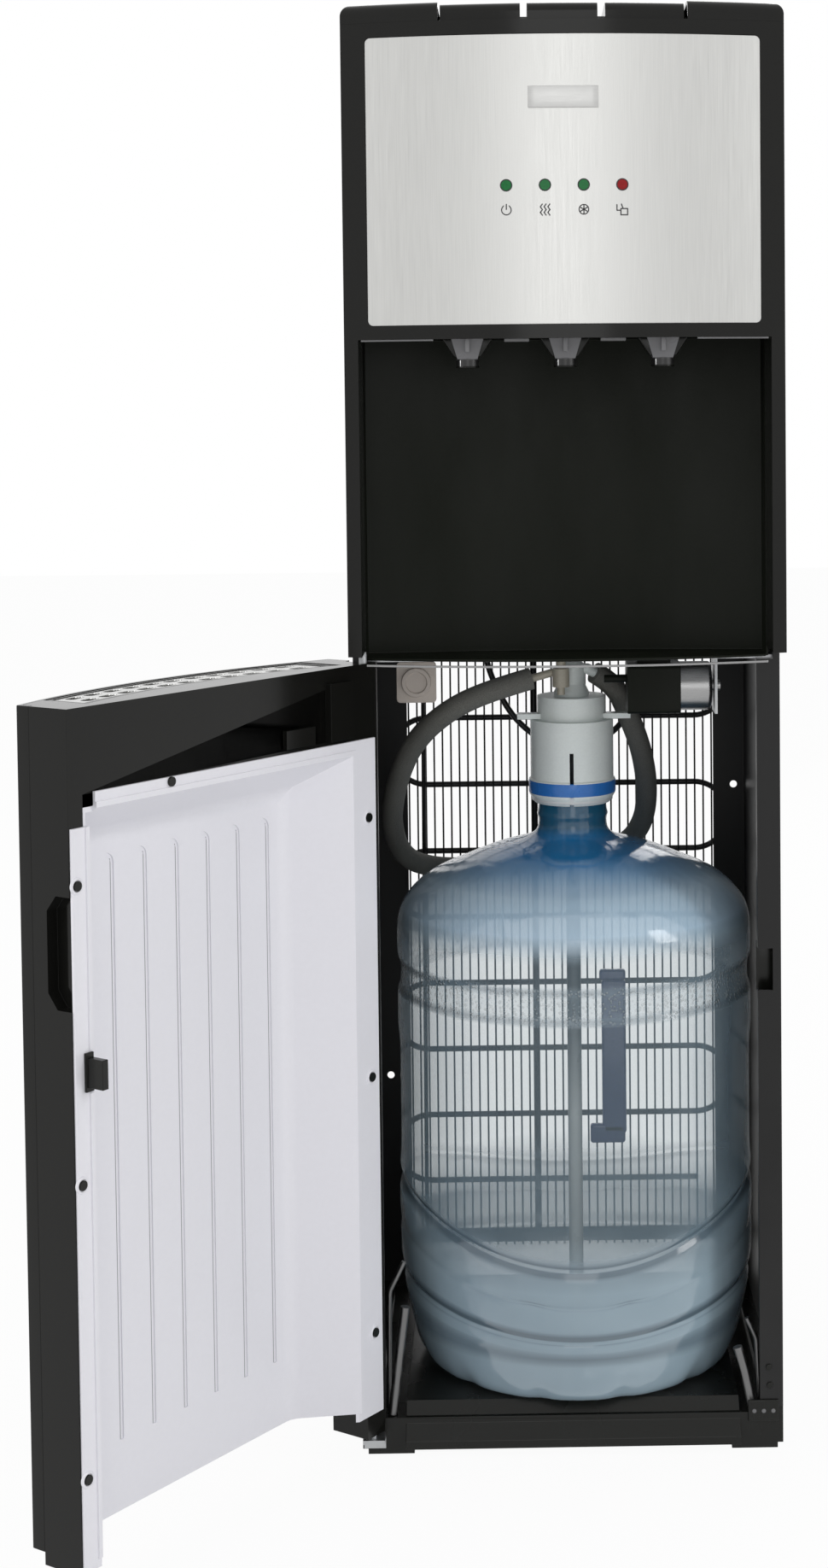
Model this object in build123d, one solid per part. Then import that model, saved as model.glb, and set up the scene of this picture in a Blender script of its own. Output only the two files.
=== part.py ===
from build123d import *
import math
import os

os.makedirs("parts", exist_ok=True)

# A bottom load water cooler, in millimetres. X is to the right, -Y to the front and Z up. The origin
# is on the floor, under the middle of the cabinet. The door stands open, as it rests.

# Driving dimensions of the whole
WIDTH = 310.0
DEPTH = 360.0
BOW = 24.0              # the middle of the front stands this far ahead of its corners
DOOR_TOP = 586.0
ALCOVE_HEIGHT = 229.0
PANEL_HEIGHT = 200.0    # the stainless display panel
CAP_HEIGHT = 23.5       # from the display panel to the top
DOOR_THICKNESS = 45.5   # at the door's two upright edges
DOOR_GAP = 2.5          # between the closed door's liner and the cabinet
DOOR_OPEN = 125.0       # degrees, where the door rests against its stop
SHEET = 1.0             # folded sheet steel
SHELF_SHEET = 2.5       # the two inner shelves
MOULDING = 3.0          # walls of the plastic mouldings
SHELL = 3.5             # the door's outer shell

# Small clearances, each between two named kinds of piece
SHAFT_FIT = 0.05        # pin or shaft in its bore, on the radius
SLIDE_FIT = 0.1         # push rod in its guide, on the radius
LIFT_GAP = 0.5          # lift-out tray and grille in their seats
SWING_GAP = 0.3         # moving faces beside fixed ones

# Base
SKIRT_BOTTOM = 4.0
BASE_TOP = 31.0
FLOOR_TOP = 27.0
PLATFORM_TOP = 36.0
RAMP_FOOT = 12.0
RAMP_REACH = 8.0        # the ramp's front edge ahead of the cabinet
RAMP_RUN = 18.0
PLATFORM_WIDTH = 246.0
FOOT_WIDTH = 34.0
RIB_PITCH = 75.0

# Side panels
JAMB = 17.0             # front flange, over the bay
HEM = 8.0
HOUSING_FLANGE = 5.0    # front flange, behind the upper housing
REAR_FLANGE = 27.0
REAR_SETBACK = 14.0     # rear flange ahead of the rear plane
FLANGE_HOLE = 3.0       # radius of the round hole in each rear flange
HOLE_INSET = 10.0       # the hole's middle from the cabinet's side
LEFT_HOLE = 207.0
RIGHT_HOLE = 450.0
PANEL_CORNER = 4.0      # radius of the display panel's corners
LAMP_RISE = 96.0        # the lamps' centres over the display panel's foot
LAMP_PITCH = 26.8
LAMP_COUNT = 4

# Door
DOOR_FLOOR = 44.0       # bottom edge of the shell and of the liner's floor
LEG_BOTTOM = 20.0
FREE_LEG_BOTTOM = 36.0
HINGE_LEG = 20.0
FREE_LEG = 13.0
RETURN = 11.0           # the shell's return along the door's upright edges
BLOCK_HEIGHT = 55.0     # the frame's top block, which holds the tray
LINER_SHEET = 2.0
RECESS_DEPTH = 36.0
GROOVE_COUNT = 6
GROOVE_PITCH = 31.0
GROOVE_START = 82.0
GROOVE_BOTTOM = 91.0
LINER_FOOT = 38.0       # bottom edge of the liner's flange, above the platform
GROOVE_HEAD = 50.0      # from the beads' tops to the top block
GROOVE_DEPTH = 1.1
GROOVE_WIDTH = 3.0
HOOK_RADIUS = 6.0       # of the arc that ends each bead, at its middle
LIP_WIDTH = 3.0         # raised edge round the liner's recess
LIP_RISE = 1.2
FOLD_RADIUS = 16.0      # where the recess's walls meet its floor
GRIP_BOTTOM = 396.0
GRIP_TOP = 468.0
GRIP_DEPTH = 9.0
CATCH_BOTTOM = 344.0
CATCH_HEIGHT = 25.0
CATCH_REACH = 15.0
PIN_RADIUS = 3.0
PIN_INSET = 8.0         # hinge axis from the door's end face
PIN_SETBACK = 9.5       # hinge axis ahead of the cabinet's front
PIN_LENGTH = 13.0
HINGE_PLATE = 3.0
TRAY_DEPTH = 22.0
TRAY_BAND = 36.0
TRAY_MARGIN = 27.0      # from the tray well's end to the door's side
TRAY_RIM = 2.5          # the tray's front rim, behind the door's outer shell
TRAY_GRIP = 6.0         # its other rims, broad enough to lift it by
GRILLE_SHEET = 2.0
GRILLE_DROP = 3.0       # the grille's underside below the door's top
FIN_LENGTH = 10.0       # of the tray's fins under the grille
FIN_INSET = 8.0
SLOT_ROWS = 2
SLOT_COLUMNS = 11

# Keys and taps
TAP_PITCH = 68.5
TAP_SETBACK = 25.0      # taps behind the middle of the front
KEY_ZONE = 86.5
KEY_RANGES = {"hot": (-85.0, -29.5), "room": (-24.8, 24.0), "cold": (29.3, 84.2)}
KEY_SHELL = 2.0
KEY_INSET = 3.0
PIVOT_RADIUS = 1.5
STEM_RADIUS = 2.5
CONE_HEIGHT = 15.0
NOZZLE_RADIUS = 7.75
NOZZLE_LENGTH = 6.0

# Bottle and its probe
BOTTLE_RADIUS = 137.0
BOTTLE_WALL = 2.5
BOTTLE_X = 6.0
BOTTLE_SETBACK = 113.0  # the bottle's axis behind the cabinet's front
NECK_RADIUS = 26.5
CAP_RISE = 60.0         # from the neck's rim to the top of the probe's cap
PROBE_RADIUS = 5.5

# Condenser at the rear
WIRE_PITCH = 7.04
WIRE_RADIUS = 0.75
COIL_RADIUS = 2.4
COIL_DROP = 22.0        # from the door's top to the coil's first row
COIL_PITCH = 56.1
COIL_ROWS = 9
COIL_SPAN = 112.0       # where the bends start, from the middle

# Hose and lead
HOSE_RADIUS = 8.5
LEAD_RADIUS = 2.5
HOSE_POINTS = [(-25, -20, 562), (-56, -25, 554), (-88, -19, 539), (-116, 3, 512), (-132, 36, 474),
               (-138, 72, 434), (-130, 108, 402), (-106, 135, 388), (-68, 147, 386), (-26, 149, 388),
               (16, 147, 392), (50, 132, 404), (66, 104, 428), (68, 72, 462), (62, 44, 498), (50, 24, 530),
               (40, 14, 553), (24, 7, 563)]
LEAD_POINTS = [(-66, 148, 584), (-62, 148, 560), (-52, 149, 532), (-36, 150, 506), (-12, 151, 488),
               (18, 151, 484), (44, 148, 496), (60, 136, 520), (66, 112, 538), (64, 82, 548),
               (68, 50, 556), (67, 20, 556), (67, -8, 556)]

# Worked out from the driving dimensions
HALF = WIDTH / 2
REAR = DEPTH / 2
BOW_RADIUS = (HALF ** 2 + BOW ** 2) / (2 * BOW)
BOW_CENTRE = -REAR + BOW_RADIUS
FRONT_CORNER = -REAR + BOW
BLOCK_BOTTOM = DOOR_TOP - BLOCK_HEIGHT
GROOVE_TOP = BLOCK_BOTTOM - GROOVE_HEAD
COIL_TOP = DOOR_TOP - COIL_DROP
NECK_RIM = PLATFORM_TOP + 434.0                 # the bottle's mouth
NECK_TOP = NECK_RIM + CAP_RISE
DOOR_INNER = FRONT_CORNER + DOOR_THICKNESS      # the closed door's inner plane
CABINET_FRONT = DOOR_INNER + DOOR_GAP
FLANGE_REAR = REAR - REAR_SETBACK
COVER_REAR = REAR - 4.0
HINGE_X = -HALF + PIN_INSET
HINGE_Y = CABINET_FRONT - PIN_SETBACK
LEDGE_TOP = DOOR_TOP + 3.0
SHELF_TOP = DOOR_TOP + 1.0
CHEEK_BOTTOM = DOOR_TOP + 8.0
CEILING = LEDGE_TOP + ALCOVE_HEIGHT
BAND_BOTTOM = CEILING - 1.0
PANEL_BOTTOM = CEILING + 8.5
PANEL_TOP = PANEL_BOTTOM + PANEL_HEIGHT
HEIGHT = PANEL_TOP + CAP_HEIGHT
KEY_LINE = HEIGHT - 13.5                        # top of the bezel, below the keys
PANEL_HALF = HALF - 17.0
ALCOVE_HALF = HALF - 10.0
TRAY_HALF = HALF - TRAY_MARGIN
TAP_Y = -REAR + TAP_SETBACK
TRAY_LEVEL = PANEL_TOP - 13.5                   # shelf behind the panel that guides the push rods
PIVOT_Y = TAP_Y + 60.0
PIVOT_Z = HEIGHT - 10.0
BOTTLE_Y = CABINET_FRONT + BOTTLE_SETBACK
WIRE_Y = FLANGE_REAR + WIRE_RADIUS
COIL_Y = WIRE_Y + WIRE_RADIUS + COIL_RADIUS
TANK_LEVEL = LEDGE_TOP + 196.0
HOT_X, HOT_Y = -85.0, BOTTLE_Y + 35.0
COLD_X, COLD_Y = 62.0, BOTTLE_Y + 42.0
TEE_X = HOSE_POINTS[0][0] + 22.5                # the tee that the hose starts from
TEE_Y = HOSE_POINTS[0][1]


def bow_y(x, inset=0.0):
    """Y of the bowed front at x, moved back square to itself by inset."""
    return BOW_CENTRE - math.sqrt((BOW_RADIUS - inset) ** 2 - x * x)


def bow_edge(x0, x1, inset):
    """The front's curve from x0 to x1, as one arc."""
    middle = (x0 + x1) / 2
    points = [(x, bow_y(x, inset)) for x in (x0, middle, x1)]
    return ThreePointArc(*points)


def span(x0, x1, y0, y1, z0, z1):
    """A block between two X, two Y and two Z values."""
    return Pos((x0 + x1) / 2, (y0 + y1) / 2, (z0 + z1) / 2) * Box(x1 - x0, y1 - y0, z1 - z0)


def bow_sheet(x0, x1, inset, thickness, z0, z1):
    """A bowed wall with both faces parallel to the front."""
    outer = bow_edge(x0, x1, inset)
    inner = bow_edge(x0, x1, inset + thickness)
    outline = make_face([outer, Line(outer @ 1, inner @ 1), inner, Line(inner @ 0, outer @ 0)])
    return Pos(0, 0, z0) * extrude(outline, z1 - z0, dir=(0, 0, 1))


def bow_block(x0, x1, inset, back, z0, z1):
    """A block with a bowed front and a flat back."""
    outer = bow_edge(x0, x1, inset)
    sides = Polyline(outer @ 1, (x1, back), (x0, back), outer @ 0)
    outline = make_face([outer, *sides.edges()])
    return Pos(0, 0, z0) * extrude(outline, z1 - z0, dir=(0, 0, 1))


def rod(radius, start, end):
    """A round bar from one point to another."""
    run = Vector(*end) - Vector(*start)
    seat = Plane(origin=start, z_dir=run)
    return seat * Cylinder(radius, run.length, align=(Align.CENTER, Align.CENTER, Align.MIN))


def turned(x, y, profile):
    """A solid turned about the upright line at x, y, from corners of radius and height."""
    outline = make_face(Polyline(*[(r, 0, z) for r, z in profile], close=True))
    return Pos(x, y, 0) * revolve(outline, Axis.Z)


def upright(points, z0, z1):
    """A prism with an upright axis over an outline in plan."""
    outline = make_face(Polyline(*points, close=True))
    return Pos(0, 0, z0) * extrude(outline, z1 - z0, dir=(0, 0, 1))


def crosswise(points, x0, x1):
    """A prism along X over an outline of Y and Z values."""
    outline = make_face(Polyline(*[(x0, y, z) for y, z in points], close=True))
    return extrude(outline, x1 - x0, dir=(1, 0, 0))


def tube(points, radius, radii):
    """A round tube along straight runs joined by tangent arcs."""
    path = FilletPolyline(*points, radius=radii)
    start = Plane(origin=path @ 0, z_dir=path % 0)
    return sweep(start * Circle(radius), path=path)


def cord_radii(points):
    """For each inner point of a route, the largest arc that leaves a tenth of the runs straight."""
    radii = []
    for a, b, c in zip(points, points[1:], points[2:]):
        before = Vector(*b) - Vector(*a)
        after = Vector(*c) - Vector(*b)
        half_turn = math.radians(before.get_angle(after)) / 2
        radii.append(0.45 * min(before.length, after.length) / math.tan(half_turn))
    return radii


def cord(points, radius, name):
    """A free hose or lead, with its radii and its volume printed."""
    radii = cord_radii(points)
    path = FilletPolyline(*points, radius=radii)
    start = Plane(origin=path @ 0, z_dir=path % 0)
    solid = sweep(start * Circle(radius), path=path)
    share = solid.volume / (math.pi * radius ** 2 * path.length)
    print(name, "length", round(path.length, 1), "radii", [round(r) for r in radii],
          "volume over section times length", round(share, 4))
    return solid


def opened(solid):
    """Swings a piece of the closed door to where the door rests."""
    hinge = Axis((HINGE_X, HINGE_Y, 0), (0, 0, 1))
    return solid.rotate(hinge, -DOOR_OPEN)


def both_sides(solid):
    """A piece and its mirror image on the other side of the cabinet."""
    return solid + mirror(solid, Plane.YZ)


# ---------------------------------------------------------------- cabinet


def base_pan():
    """Moulded base: skirt with ribs below, four feet, a middle pad, the ramp and the platform."""
    front, rear = CABINET_FRONT, COVER_REAR
    pan = span(-HALF, HALF, front, rear, SKIRT_BOTTOM, BASE_TOP)
    pan -= span(-HALF + 12, HALF - 12, front - 1, rear - 12, FLOOR_TOP, BASE_TOP + 1)
    pan -= span(-HALF + MOULDING, HALF - MOULDING, front + MOULDING, rear - MOULDING,
                SKIRT_BOTTOM - 1, FLOOR_TOP - MOULDING)
    half = PLATFORM_WIDTH / 2
    step = [(front + RAMP_RUN - RAMP_REACH, FLOOR_TOP - 1), (front + RAMP_RUN - RAMP_REACH, PLATFORM_TOP),
            (rear - 22, PLATFORM_TOP), (rear - 16, FLOOR_TOP - 1)]
    pan += crosswise(step, -half, half)
    ramp = [(front - RAMP_REACH, SKIRT_BOTTOM + 2), (front - RAMP_REACH, RAMP_FOOT),
            (front + RAMP_RUN - RAMP_REACH, PLATFORM_TOP), (front + RAMP_RUN - RAMP_REACH, SKIRT_BOTTOM + 2)]
    pan += crosswise(ramp, -half, half)
    ribs_x = int(WIDTH / RIB_PITCH)
    for i in range(1, ribs_x):
        x = -HALF + i * WIDTH / ribs_x
        pan += span(x - 1, x + 1, front + 1, rear - 1, SKIRT_BOTTOM, FLOOR_TOP - 1)
    ribs_y = int((rear - front) / RIB_PITCH)
    for i in range(1, ribs_y):
        y = front + i * (rear - front) / ribs_y
        pan += span(-HALF + 1, HALF - 1, y - 1, y + 1, SKIRT_BOTTOM, FLOOR_TOP - 1)
    foot = FOOT_WIDTH
    corners = [(-HALF + foot / 2 + 4, front + foot / 2), (HALF - foot / 2 - 4, front + foot / 2),
               (-HALF + foot / 2 + 4, rear - foot / 2), (HALF - foot / 2 - 4, rear - foot / 2)]
    for x, y in corners:
        pan += span(x - foot / 2, x + foot / 2, y - foot / 2, y + foot / 2, 0, FLOOR_TOP - 1)
    return pan + Pos(0, 0, FLOOR_TOP / 2 - 0.5) * Cylinder(foot / 2, FLOOR_TOP - 1)


def side_panel(hole):
    """The right-hand folded side: wall, front jamb with its hem, rear return and its round hole."""
    jamb_top = SHELF_TOP - SHELF_SHEET
    inner = HALF - SHEET
    side = span(inner, HALF, CABINET_FRONT, FLANGE_REAR, BASE_TOP, KEY_LINE)
    side += span(HALF - HOUSING_FLANGE, HALF, CABINET_FRONT, CABINET_FRONT + SHEET, BASE_TOP, KEY_LINE)
    side += span(HALF - JAMB, HALF, CABINET_FRONT, CABINET_FRONT + SHEET, BASE_TOP, jamb_top)
    side += span(HALF - JAMB, HALF - JAMB + SHEET, CABINET_FRONT, CABINET_FRONT + HEM, BASE_TOP, jamb_top)
    side += span(HALF - REAR_FLANGE, HALF, FLANGE_REAR - SHEET, FLANGE_REAR, BASE_TOP, KEY_LINE)
    x = HALF - HOLE_INSET
    return side - rod(FLANGE_HOLE, (x, FLANGE_REAR - SHEET - 1, hole), (x, FLANGE_REAR + 1, hole))


def left_side_panel():
    return mirror(side_panel(LEFT_HOLE), Plane.YZ)


def right_side_panel():
    """The right side, with the notch that the door catch enters."""
    notch = span(HALF - JAMB - 1, HALF - 6, CABINET_FRONT - 1, CABINET_FRONT + HEM + 1,
                 CATCH_BOTTOM - 3, CATCH_BOTTOM + CATCH_HEIGHT + 3)
    return side_panel(RIGHT_HOLE) - notch


def front_housing():
    """Front moulding: cheeks beside the alcove, band, panel seat, bezel and the key shelf."""
    wall = 5.0
    bezel = KEY_INSET - 0.5
    housing = bow_block(-HALF, HALF, 0, CABINET_FRONT, CHEEK_BOTTOM, KEY_LINE)
    housing -= span(-ALCOVE_HALF, ALCOVE_HALF, -REAR - 1, CABINET_FRONT + 1, CHEEK_BOTTOM - 1, BAND_BOTTOM)
    inner = HALF - MOULDING
    housing -= bow_block(-inner, inner, wall, CABINET_FRONT + 1, BAND_BOTTOM, KEY_LINE + 1)
    housing -= bow_sheet(-inner, inner, bezel, wall, PANEL_TOP + 1.3, KEY_LINE + 1)
    seat = bow_sheet(-PANEL_HALF, PANEL_HALF, -1, 3, PANEL_BOTTOM, PANEL_TOP)
    housing -= fillet(seat.edges().filter_by(Axis.Y), PANEL_CORNER)
    shelf_back = PIVOT_Y + 9
    half = HALF - HOUSING_FLANGE - 0.5
    shelf = bow_block(-half, half, wall - 0.5, shelf_back, TRAY_LEVEL, TRAY_LEVEL + MOULDING)
    gaps = [KEY_RANGES["hot"][0] - 2.7, (KEY_RANGES["hot"][1] + KEY_RANGES["room"][0]) / 2,
            (KEY_RANGES["room"][1] + KEY_RANGES["cold"][0]) / 2, KEY_RANGES["cold"][1] + 3.5]
    for x in gaps:
        shelf += span(x - 1.2, x + 1.2, PIVOT_Y - 6, PIVOT_Y + 6, TRAY_LEVEL, PIVOT_Z + 4)
    shelf -= rod(PIVOT_RADIUS + SHAFT_FIT, (-HALF, PIVOT_Y, PIVOT_Z), (HALF, PIVOT_Y, PIVOT_Z))
    for x in (-TAP_PITCH, 0, TAP_PITCH):
        shelf -= rod(STEM_RADIUS + SLIDE_FIT, (x, TAP_Y, TRAY_LEVEL - 1), (x, TAP_Y, TRAY_LEVEL + 9))
    return housing + shelf


def display_panel():
    """Bowed stainless plate with the four lamp holes."""
    gap = 0.4
    plate = bow_sheet(-PANEL_HALF + gap, PANEL_HALF - gap, 0.6, 1.4, PANEL_BOTTOM + gap, PANEL_TOP - gap)
    plate = fillet(plate.edges().filter_by(Axis.Y), PANEL_CORNER - gap)
    for place in lamp_places():
        plate -= lamp_pin(place, 3.6)
    return plate


def lamp_places():
    return [(i - (LAMP_COUNT - 1) / 2) * LAMP_PITCH for i in range(LAMP_COUNT)]


def lamp_pin(x, radius):
    """A bar through the display panel where a lamp stands."""
    z = PANEL_BOTTOM + LAMP_RISE
    return rod(radius, (x, -REAR - 5, z), (x, -REAR + 20, z))


def indicator_lenses():
    """Four round lenses that stand a little proud of the panel."""
    lenses = Part()
    for place in lamp_places():
        lenses += lamp_pin(place, 3.5) & bow_sheet(-PANEL_HALF, PANEL_HALF, 0.2, 1.8, PANEL_BOTTOM, PANEL_TOP)
    return lenses


def alcove_liner():
    """Concave back wall, side returns, ceiling with the tap holes, and the ledge over the door."""
    wall = 2.0
    half = ALCOVE_HALF
    middle, end = CABINET_FRONT + 36, CABINET_FRONT + 24
    lip = CABINET_FRONT - 4
    inner = ThreePointArc((-half, end), (0, middle), (half, end))
    outer = ThreePointArc((-half, end + wall), (0, middle + wall), (half, end + wall))
    ring = make_face([inner, Line(inner @ 1, outer @ 1), outer, Line(outer @ 0, inner @ 0)])
    body = Pos(0, 0, SHELF_TOP) * extrude(ring, CEILING + 2.5 - SHELF_TOP, dir=(0, 0, 1))
    body += both_sides(span(half - wall + 2, half + 2, lip + 4, end + wall, SHELF_TOP, CEILING + 2.5))
    front = ThreePointArc((-half, lip), (0, lip - BOW), (half, lip))
    ledge = make_face([front, Line(front @ 1, outer @ 1), outer, Line(outer @ 0, front @ 0)])
    body += Pos(0, 0, SHELF_TOP) * extrude(ledge, LEDGE_TOP - SHELF_TOP, dir=(0, 0, 1))
    ceiling = make_face([bow_edge(-half, half, 5.0), Line((half, bow_y(half, 5.0)), outer @ 1), outer,
                         Line(outer @ 0, (-half, bow_y(-half, 5.0)))])
    body += Pos(0, 0, CEILING) * extrude(ceiling, 2.5, dir=(0, 0, 1))
    for x in (-TAP_PITCH, 0, TAP_PITCH):
        body -= rod(9.2, (x, TAP_Y, CEILING - 1), (x, TAP_Y, CEILING + 4))
    return body


def cap_block(inset, z0, top, back, radius):
    """The top's outer form: bowed front, rounded upper edges."""
    block = bow_block(-HALF + inset, HALF - inset, inset, back, z0, top)
    return fillet(block.faces().sort_by(Axis.Z)[-1].edges(), radius)


def top_cover():
    """Black top with rounded edges, open where the keys stand."""
    wall = 2.5
    cover = cap_block(0, KEY_LINE, HEIGHT, COVER_REAR, 8.0)
    cover -= bow_block(-HALF + wall, HALF - wall, wall, COVER_REAR - wall, KEY_LINE - 1, HEIGHT - 9)
    cover -= cap_block(wall, HEIGHT - 10, HEIGHT - wall, COVER_REAR - wall, 6.0)
    return cover - span(-KEY_ZONE, KEY_ZONE, -REAR - 1, PIVOT_Y - 1.5, KEY_LINE - 1, HEIGHT + 1)


def back_panel():
    """Rear sheet over the upper housing, with louvres."""
    bottom, top = LEDGE_TOP + 15, KEY_LINE - 2
    panel = span(-HALF + 6, HALF - 6, FLANGE_REAR, FLANGE_REAR + SHEET, bottom, top)
    for column in (-70, 70):
        for row in range(6):
            z = bottom + 110 + row * 22
            panel -= span(column - 42, column + 42, FLANGE_REAR - 1, FLANGE_REAR + 2, z, z + 7)
            hood = [(0, z + 8), (5, z), (6, z), (1, z + 8)]
            panel += Pos(0, FLANGE_REAR, 0) * crosswise(hood, column - 42, column + 42)
    panel -= span(-26, 26, FLANGE_REAR - 1, FLANGE_REAR + 2, top - 60, top - 28)
    panel -= rod(9.05, (0, FLANGE_REAR - 1, bottom + 60), (0, FLANGE_REAR + 2, bottom + 60))
    return panel - rod(6.05, (90, FLANGE_REAR - 1, bottom + 30), (90, FLANGE_REAR + 2, bottom + 30))


def drain_plug():
    z = LEDGE_TOP + 75
    y = FLANGE_REAR + SHEET
    return rod(14, (0, y, z), (0, y + 9, z)) + rod(9, (0, y - 14, z), (0, y, z))


def mains_gland():
    """The bush that the mains lead leaves by."""
    z = LEDGE_TOP + 45
    y = FLANGE_REAR + SHEET
    bush = rod(9, (90, y, z), (90, y + 6, z)) + rod(6, (90, y - 5, z), (90, y, z))
    return bush - rod(3.5, (90, y - 6, z), (90, y + 7, z))


def switch_places():
    return {"heating_switch": -12.0, "cooling_switch": 12.0}


def switch_bezel():
    """Frame of the two rear switches."""
    z = KEY_LINE - 46
    y = FLANGE_REAR + SHEET
    bezel = span(-29, 29, y, y + 2.5, z - 19, z + 19) + span(-25.5, 25.5, y - 16, y, z - 15.5, z + 15.5)
    for x in switch_places().values():
        bezel -= span(x - 9, x + 9, y - 14, y + 3, z - 13, z + 13)
        bezel -= rod(1.5 + SHAFT_FIT, (x - 11, y - 5, z), (x + 11, y - 5, z))
    return bezel


def rocker(x):
    """A rear switch rocker, tipped to its off side, with its trunnions."""
    z = KEY_LINE - 46
    y = FLANGE_REAR + SHEET
    outline = [(y - 9, z - 5), (y - 3, z - 11), (y + 1.5, z - 11.5), (y, z), (y + 1.5, z + 11.5),
               (y - 3, z + 11), (y - 9, z + 5)]
    lever = crosswise(outline, x - 8.7, x + 8.7)
    lever += rod(1.5, (x - 10.8, y - 5, z), (x + 10.8, y - 5, z))
    return lever.rotate(Axis((x, y - 5, z), (1, 0, 0)), -8)


def hinge_brackets():
    """Lower and upper hinge plates, each with its pin."""
    back = CABINET_FRONT + 4
    x0, x1 = -HALF + 1, -HALF + 17
    low = LEG_BOTTOM - 3
    pins = span(x0, x1, HINGE_Y - 7, CABINET_FRONT, low - HINGE_PLATE, low)
    pins += span(x0, x1, CABINET_FRONT - 1.5, CABINET_FRONT, SKIRT_BOTTOM + 1, low)
    pins += hinge_bar(PIN_RADIUS, low - HINGE_PLATE, LEG_BOTTOM + PIN_LENGTH - 1)
    high = CHEEK_BOTTOM
    pins += span(x0, -ALCOVE_HALF - 0.5, HINGE_Y - 7, CABINET_FRONT, high - HINGE_PLATE, high)
    return pins + hinge_bar(PIN_RADIUS, DOOR_TOP - PIN_LENGTH + 1, high - 0.2)


def hinge_bar(radius, z0, z1):
    """A round bar on the hinge line."""
    return rod(radius, (HINGE_X, HINGE_Y, z0), (HINGE_X, HINGE_Y, z1))


def bottle_guides():
    """Bent rods that steer the bottle in at both front corners: a stout one, and a thin one behind it."""
    y = CABINET_FRONT + 6
    foot = FLOOR_TOP + 0.8
    edge = HALF - 22
    routes = [
        (3.5, 60, [(-edge, y, 0), (-edge + 5, y, 42), (-edge + 10, y, 80)]),
        (2, 12, [(-edge - 3, y + 10, 0), (-edge - 2, y + 10, 88), (-edge + 9, y + 10, 110)]),
        (3.5, 60, [(edge, y, 0), (edge - 6, y, 28), (edge - 11, y, 46)]),
        (2, 12, [(edge + 6, y + 10, 0), (edge + 4, y + 10, 48), (edge - 3, y + 10, 64)]),
    ]
    guides = Part()
    for radius, bend, points in routes:
        guides += Pos(0, 0, foot) * tube(points, radius, bend)
    return guides


# ---------------------------------------------------------------- shelves and what they carry


def equipment_shelf():
    """Shelf over the bottle bay, with upturned ends."""
    inner = HALF - SHEET
    front, rear = CABINET_FRONT + 7, FLANGE_REAR - 4
    bottom = SHELF_TOP - SHELF_SHEET
    shelf = span(-inner, inner, front, rear, bottom, SHELF_TOP)
    shelf += both_sides(span(inner - SHELF_SHEET, inner, front + 40, rear, bottom, SHELF_TOP + 14))
    return shelf - rod(6, (TEE_X, TEE_Y, bottom - 1), (TEE_X, TEE_Y, SHELF_TOP + 1))


def tank_shelf():
    """Upper shelf that carries the two tanks."""
    inner = HALF - SHEET
    front, rear = CABINET_FRONT + 68, FLANGE_REAR - 4
    shelf = span(-inner, inner, front, rear, TANK_LEVEL - SHELF_SHEET, TANK_LEVEL)
    return shelf + both_sides(span(inner - SHELF_SHEET, inner, front, rear, TANK_LEVEL - 16, TANK_LEVEL))


def compressor():
    """Hermetic compressor on its feet and grommets."""
    x, y, z = -30.0, BOTTLE_Y + 75, SHELF_TOP
    pot = turned(x, y, [(0, z + 13), (56, z + 13), (66, z + 24), (68, z + 70), (66, z + 112), (48, z + 134),
                        (0, z + 140)])
    pot += span(x - 84, x + 84, y - 50, y + 50, z + 9, z + 12)
    pot += span(x - 50, x + 50, y - 40, y + 40, z + 10, z + 16)
    for dx in (-74, 74):
        for dy in (-40, 40):
            pot += Pos(x + dx, y + dy, z + 5) * Cylinder(8, 10)
    return pot + rod(4, (x + 60, y - 20, z + 100), (x + 82, y - 20, z + 100))


def vessel(x, y, z, radius, height, wall, chamfer, dome, pipe):
    """A thin steel tank on the line x, y, with a coned lid and the pipe that leaves its middle."""
    crown = height + dome + 2
    lid = crown + 4
    outer = [(0, 0), (radius - chamfer, 0), (radius, chamfer), (radius, height), (radius - dome, crown)]
    port = [(6, lid), (6, lid + pipe), (3, lid + pipe), (3, lid - wall)]
    inner = [(radius - dome - 1, crown - wall), (radius - wall, height - 2), (radius - wall, chamfer + 1),
             (radius - 2 * wall, wall), (0, wall)]
    return Pos(0, 0, z) * turned(x, y, outer + port + inner)


def cold_tank():
    return vessel(COLD_X, COLD_Y, TANK_LEVEL + 13, 60, 148, 2, 4, 6, 12)


def cold_tank_jacket():
    """Foam round the cold tank."""
    x, y, z = COLD_X, COLD_Y, TANK_LEVEL
    outline = [(0, z), (80, z), (80, z + 160), (60.3, z + 160), (60.3, z + 16), (57.3, z + 13), (0, z + 13)]
    return turned(x, y, outline)


def hot_tank():
    """Steel boiler on three feet."""
    tank = vessel(HOT_X, HOT_Y, TANK_LEVEL + 8, 45, 126, 2, 4, 6, 10)
    for turn in range(3):
        foot = Vector(34, 0).rotate(Axis.Z, turn * 120)
        tank += Pos(HOT_X + foot.X, HOT_Y + foot.Y, TANK_LEVEL + 5) * Cylinder(4, 10)
    return tank


def band_heater():
    z = TANK_LEVEL + 45
    band = turned(HOT_X, HOT_Y, [(45, z), (48, z), (48, z + 40), (45, z + 40)])
    return band + span(HOT_X - 6, HOT_X + 6, HOT_Y - 56, HOT_Y - 47.5, z + 12, z + 28)


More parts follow.
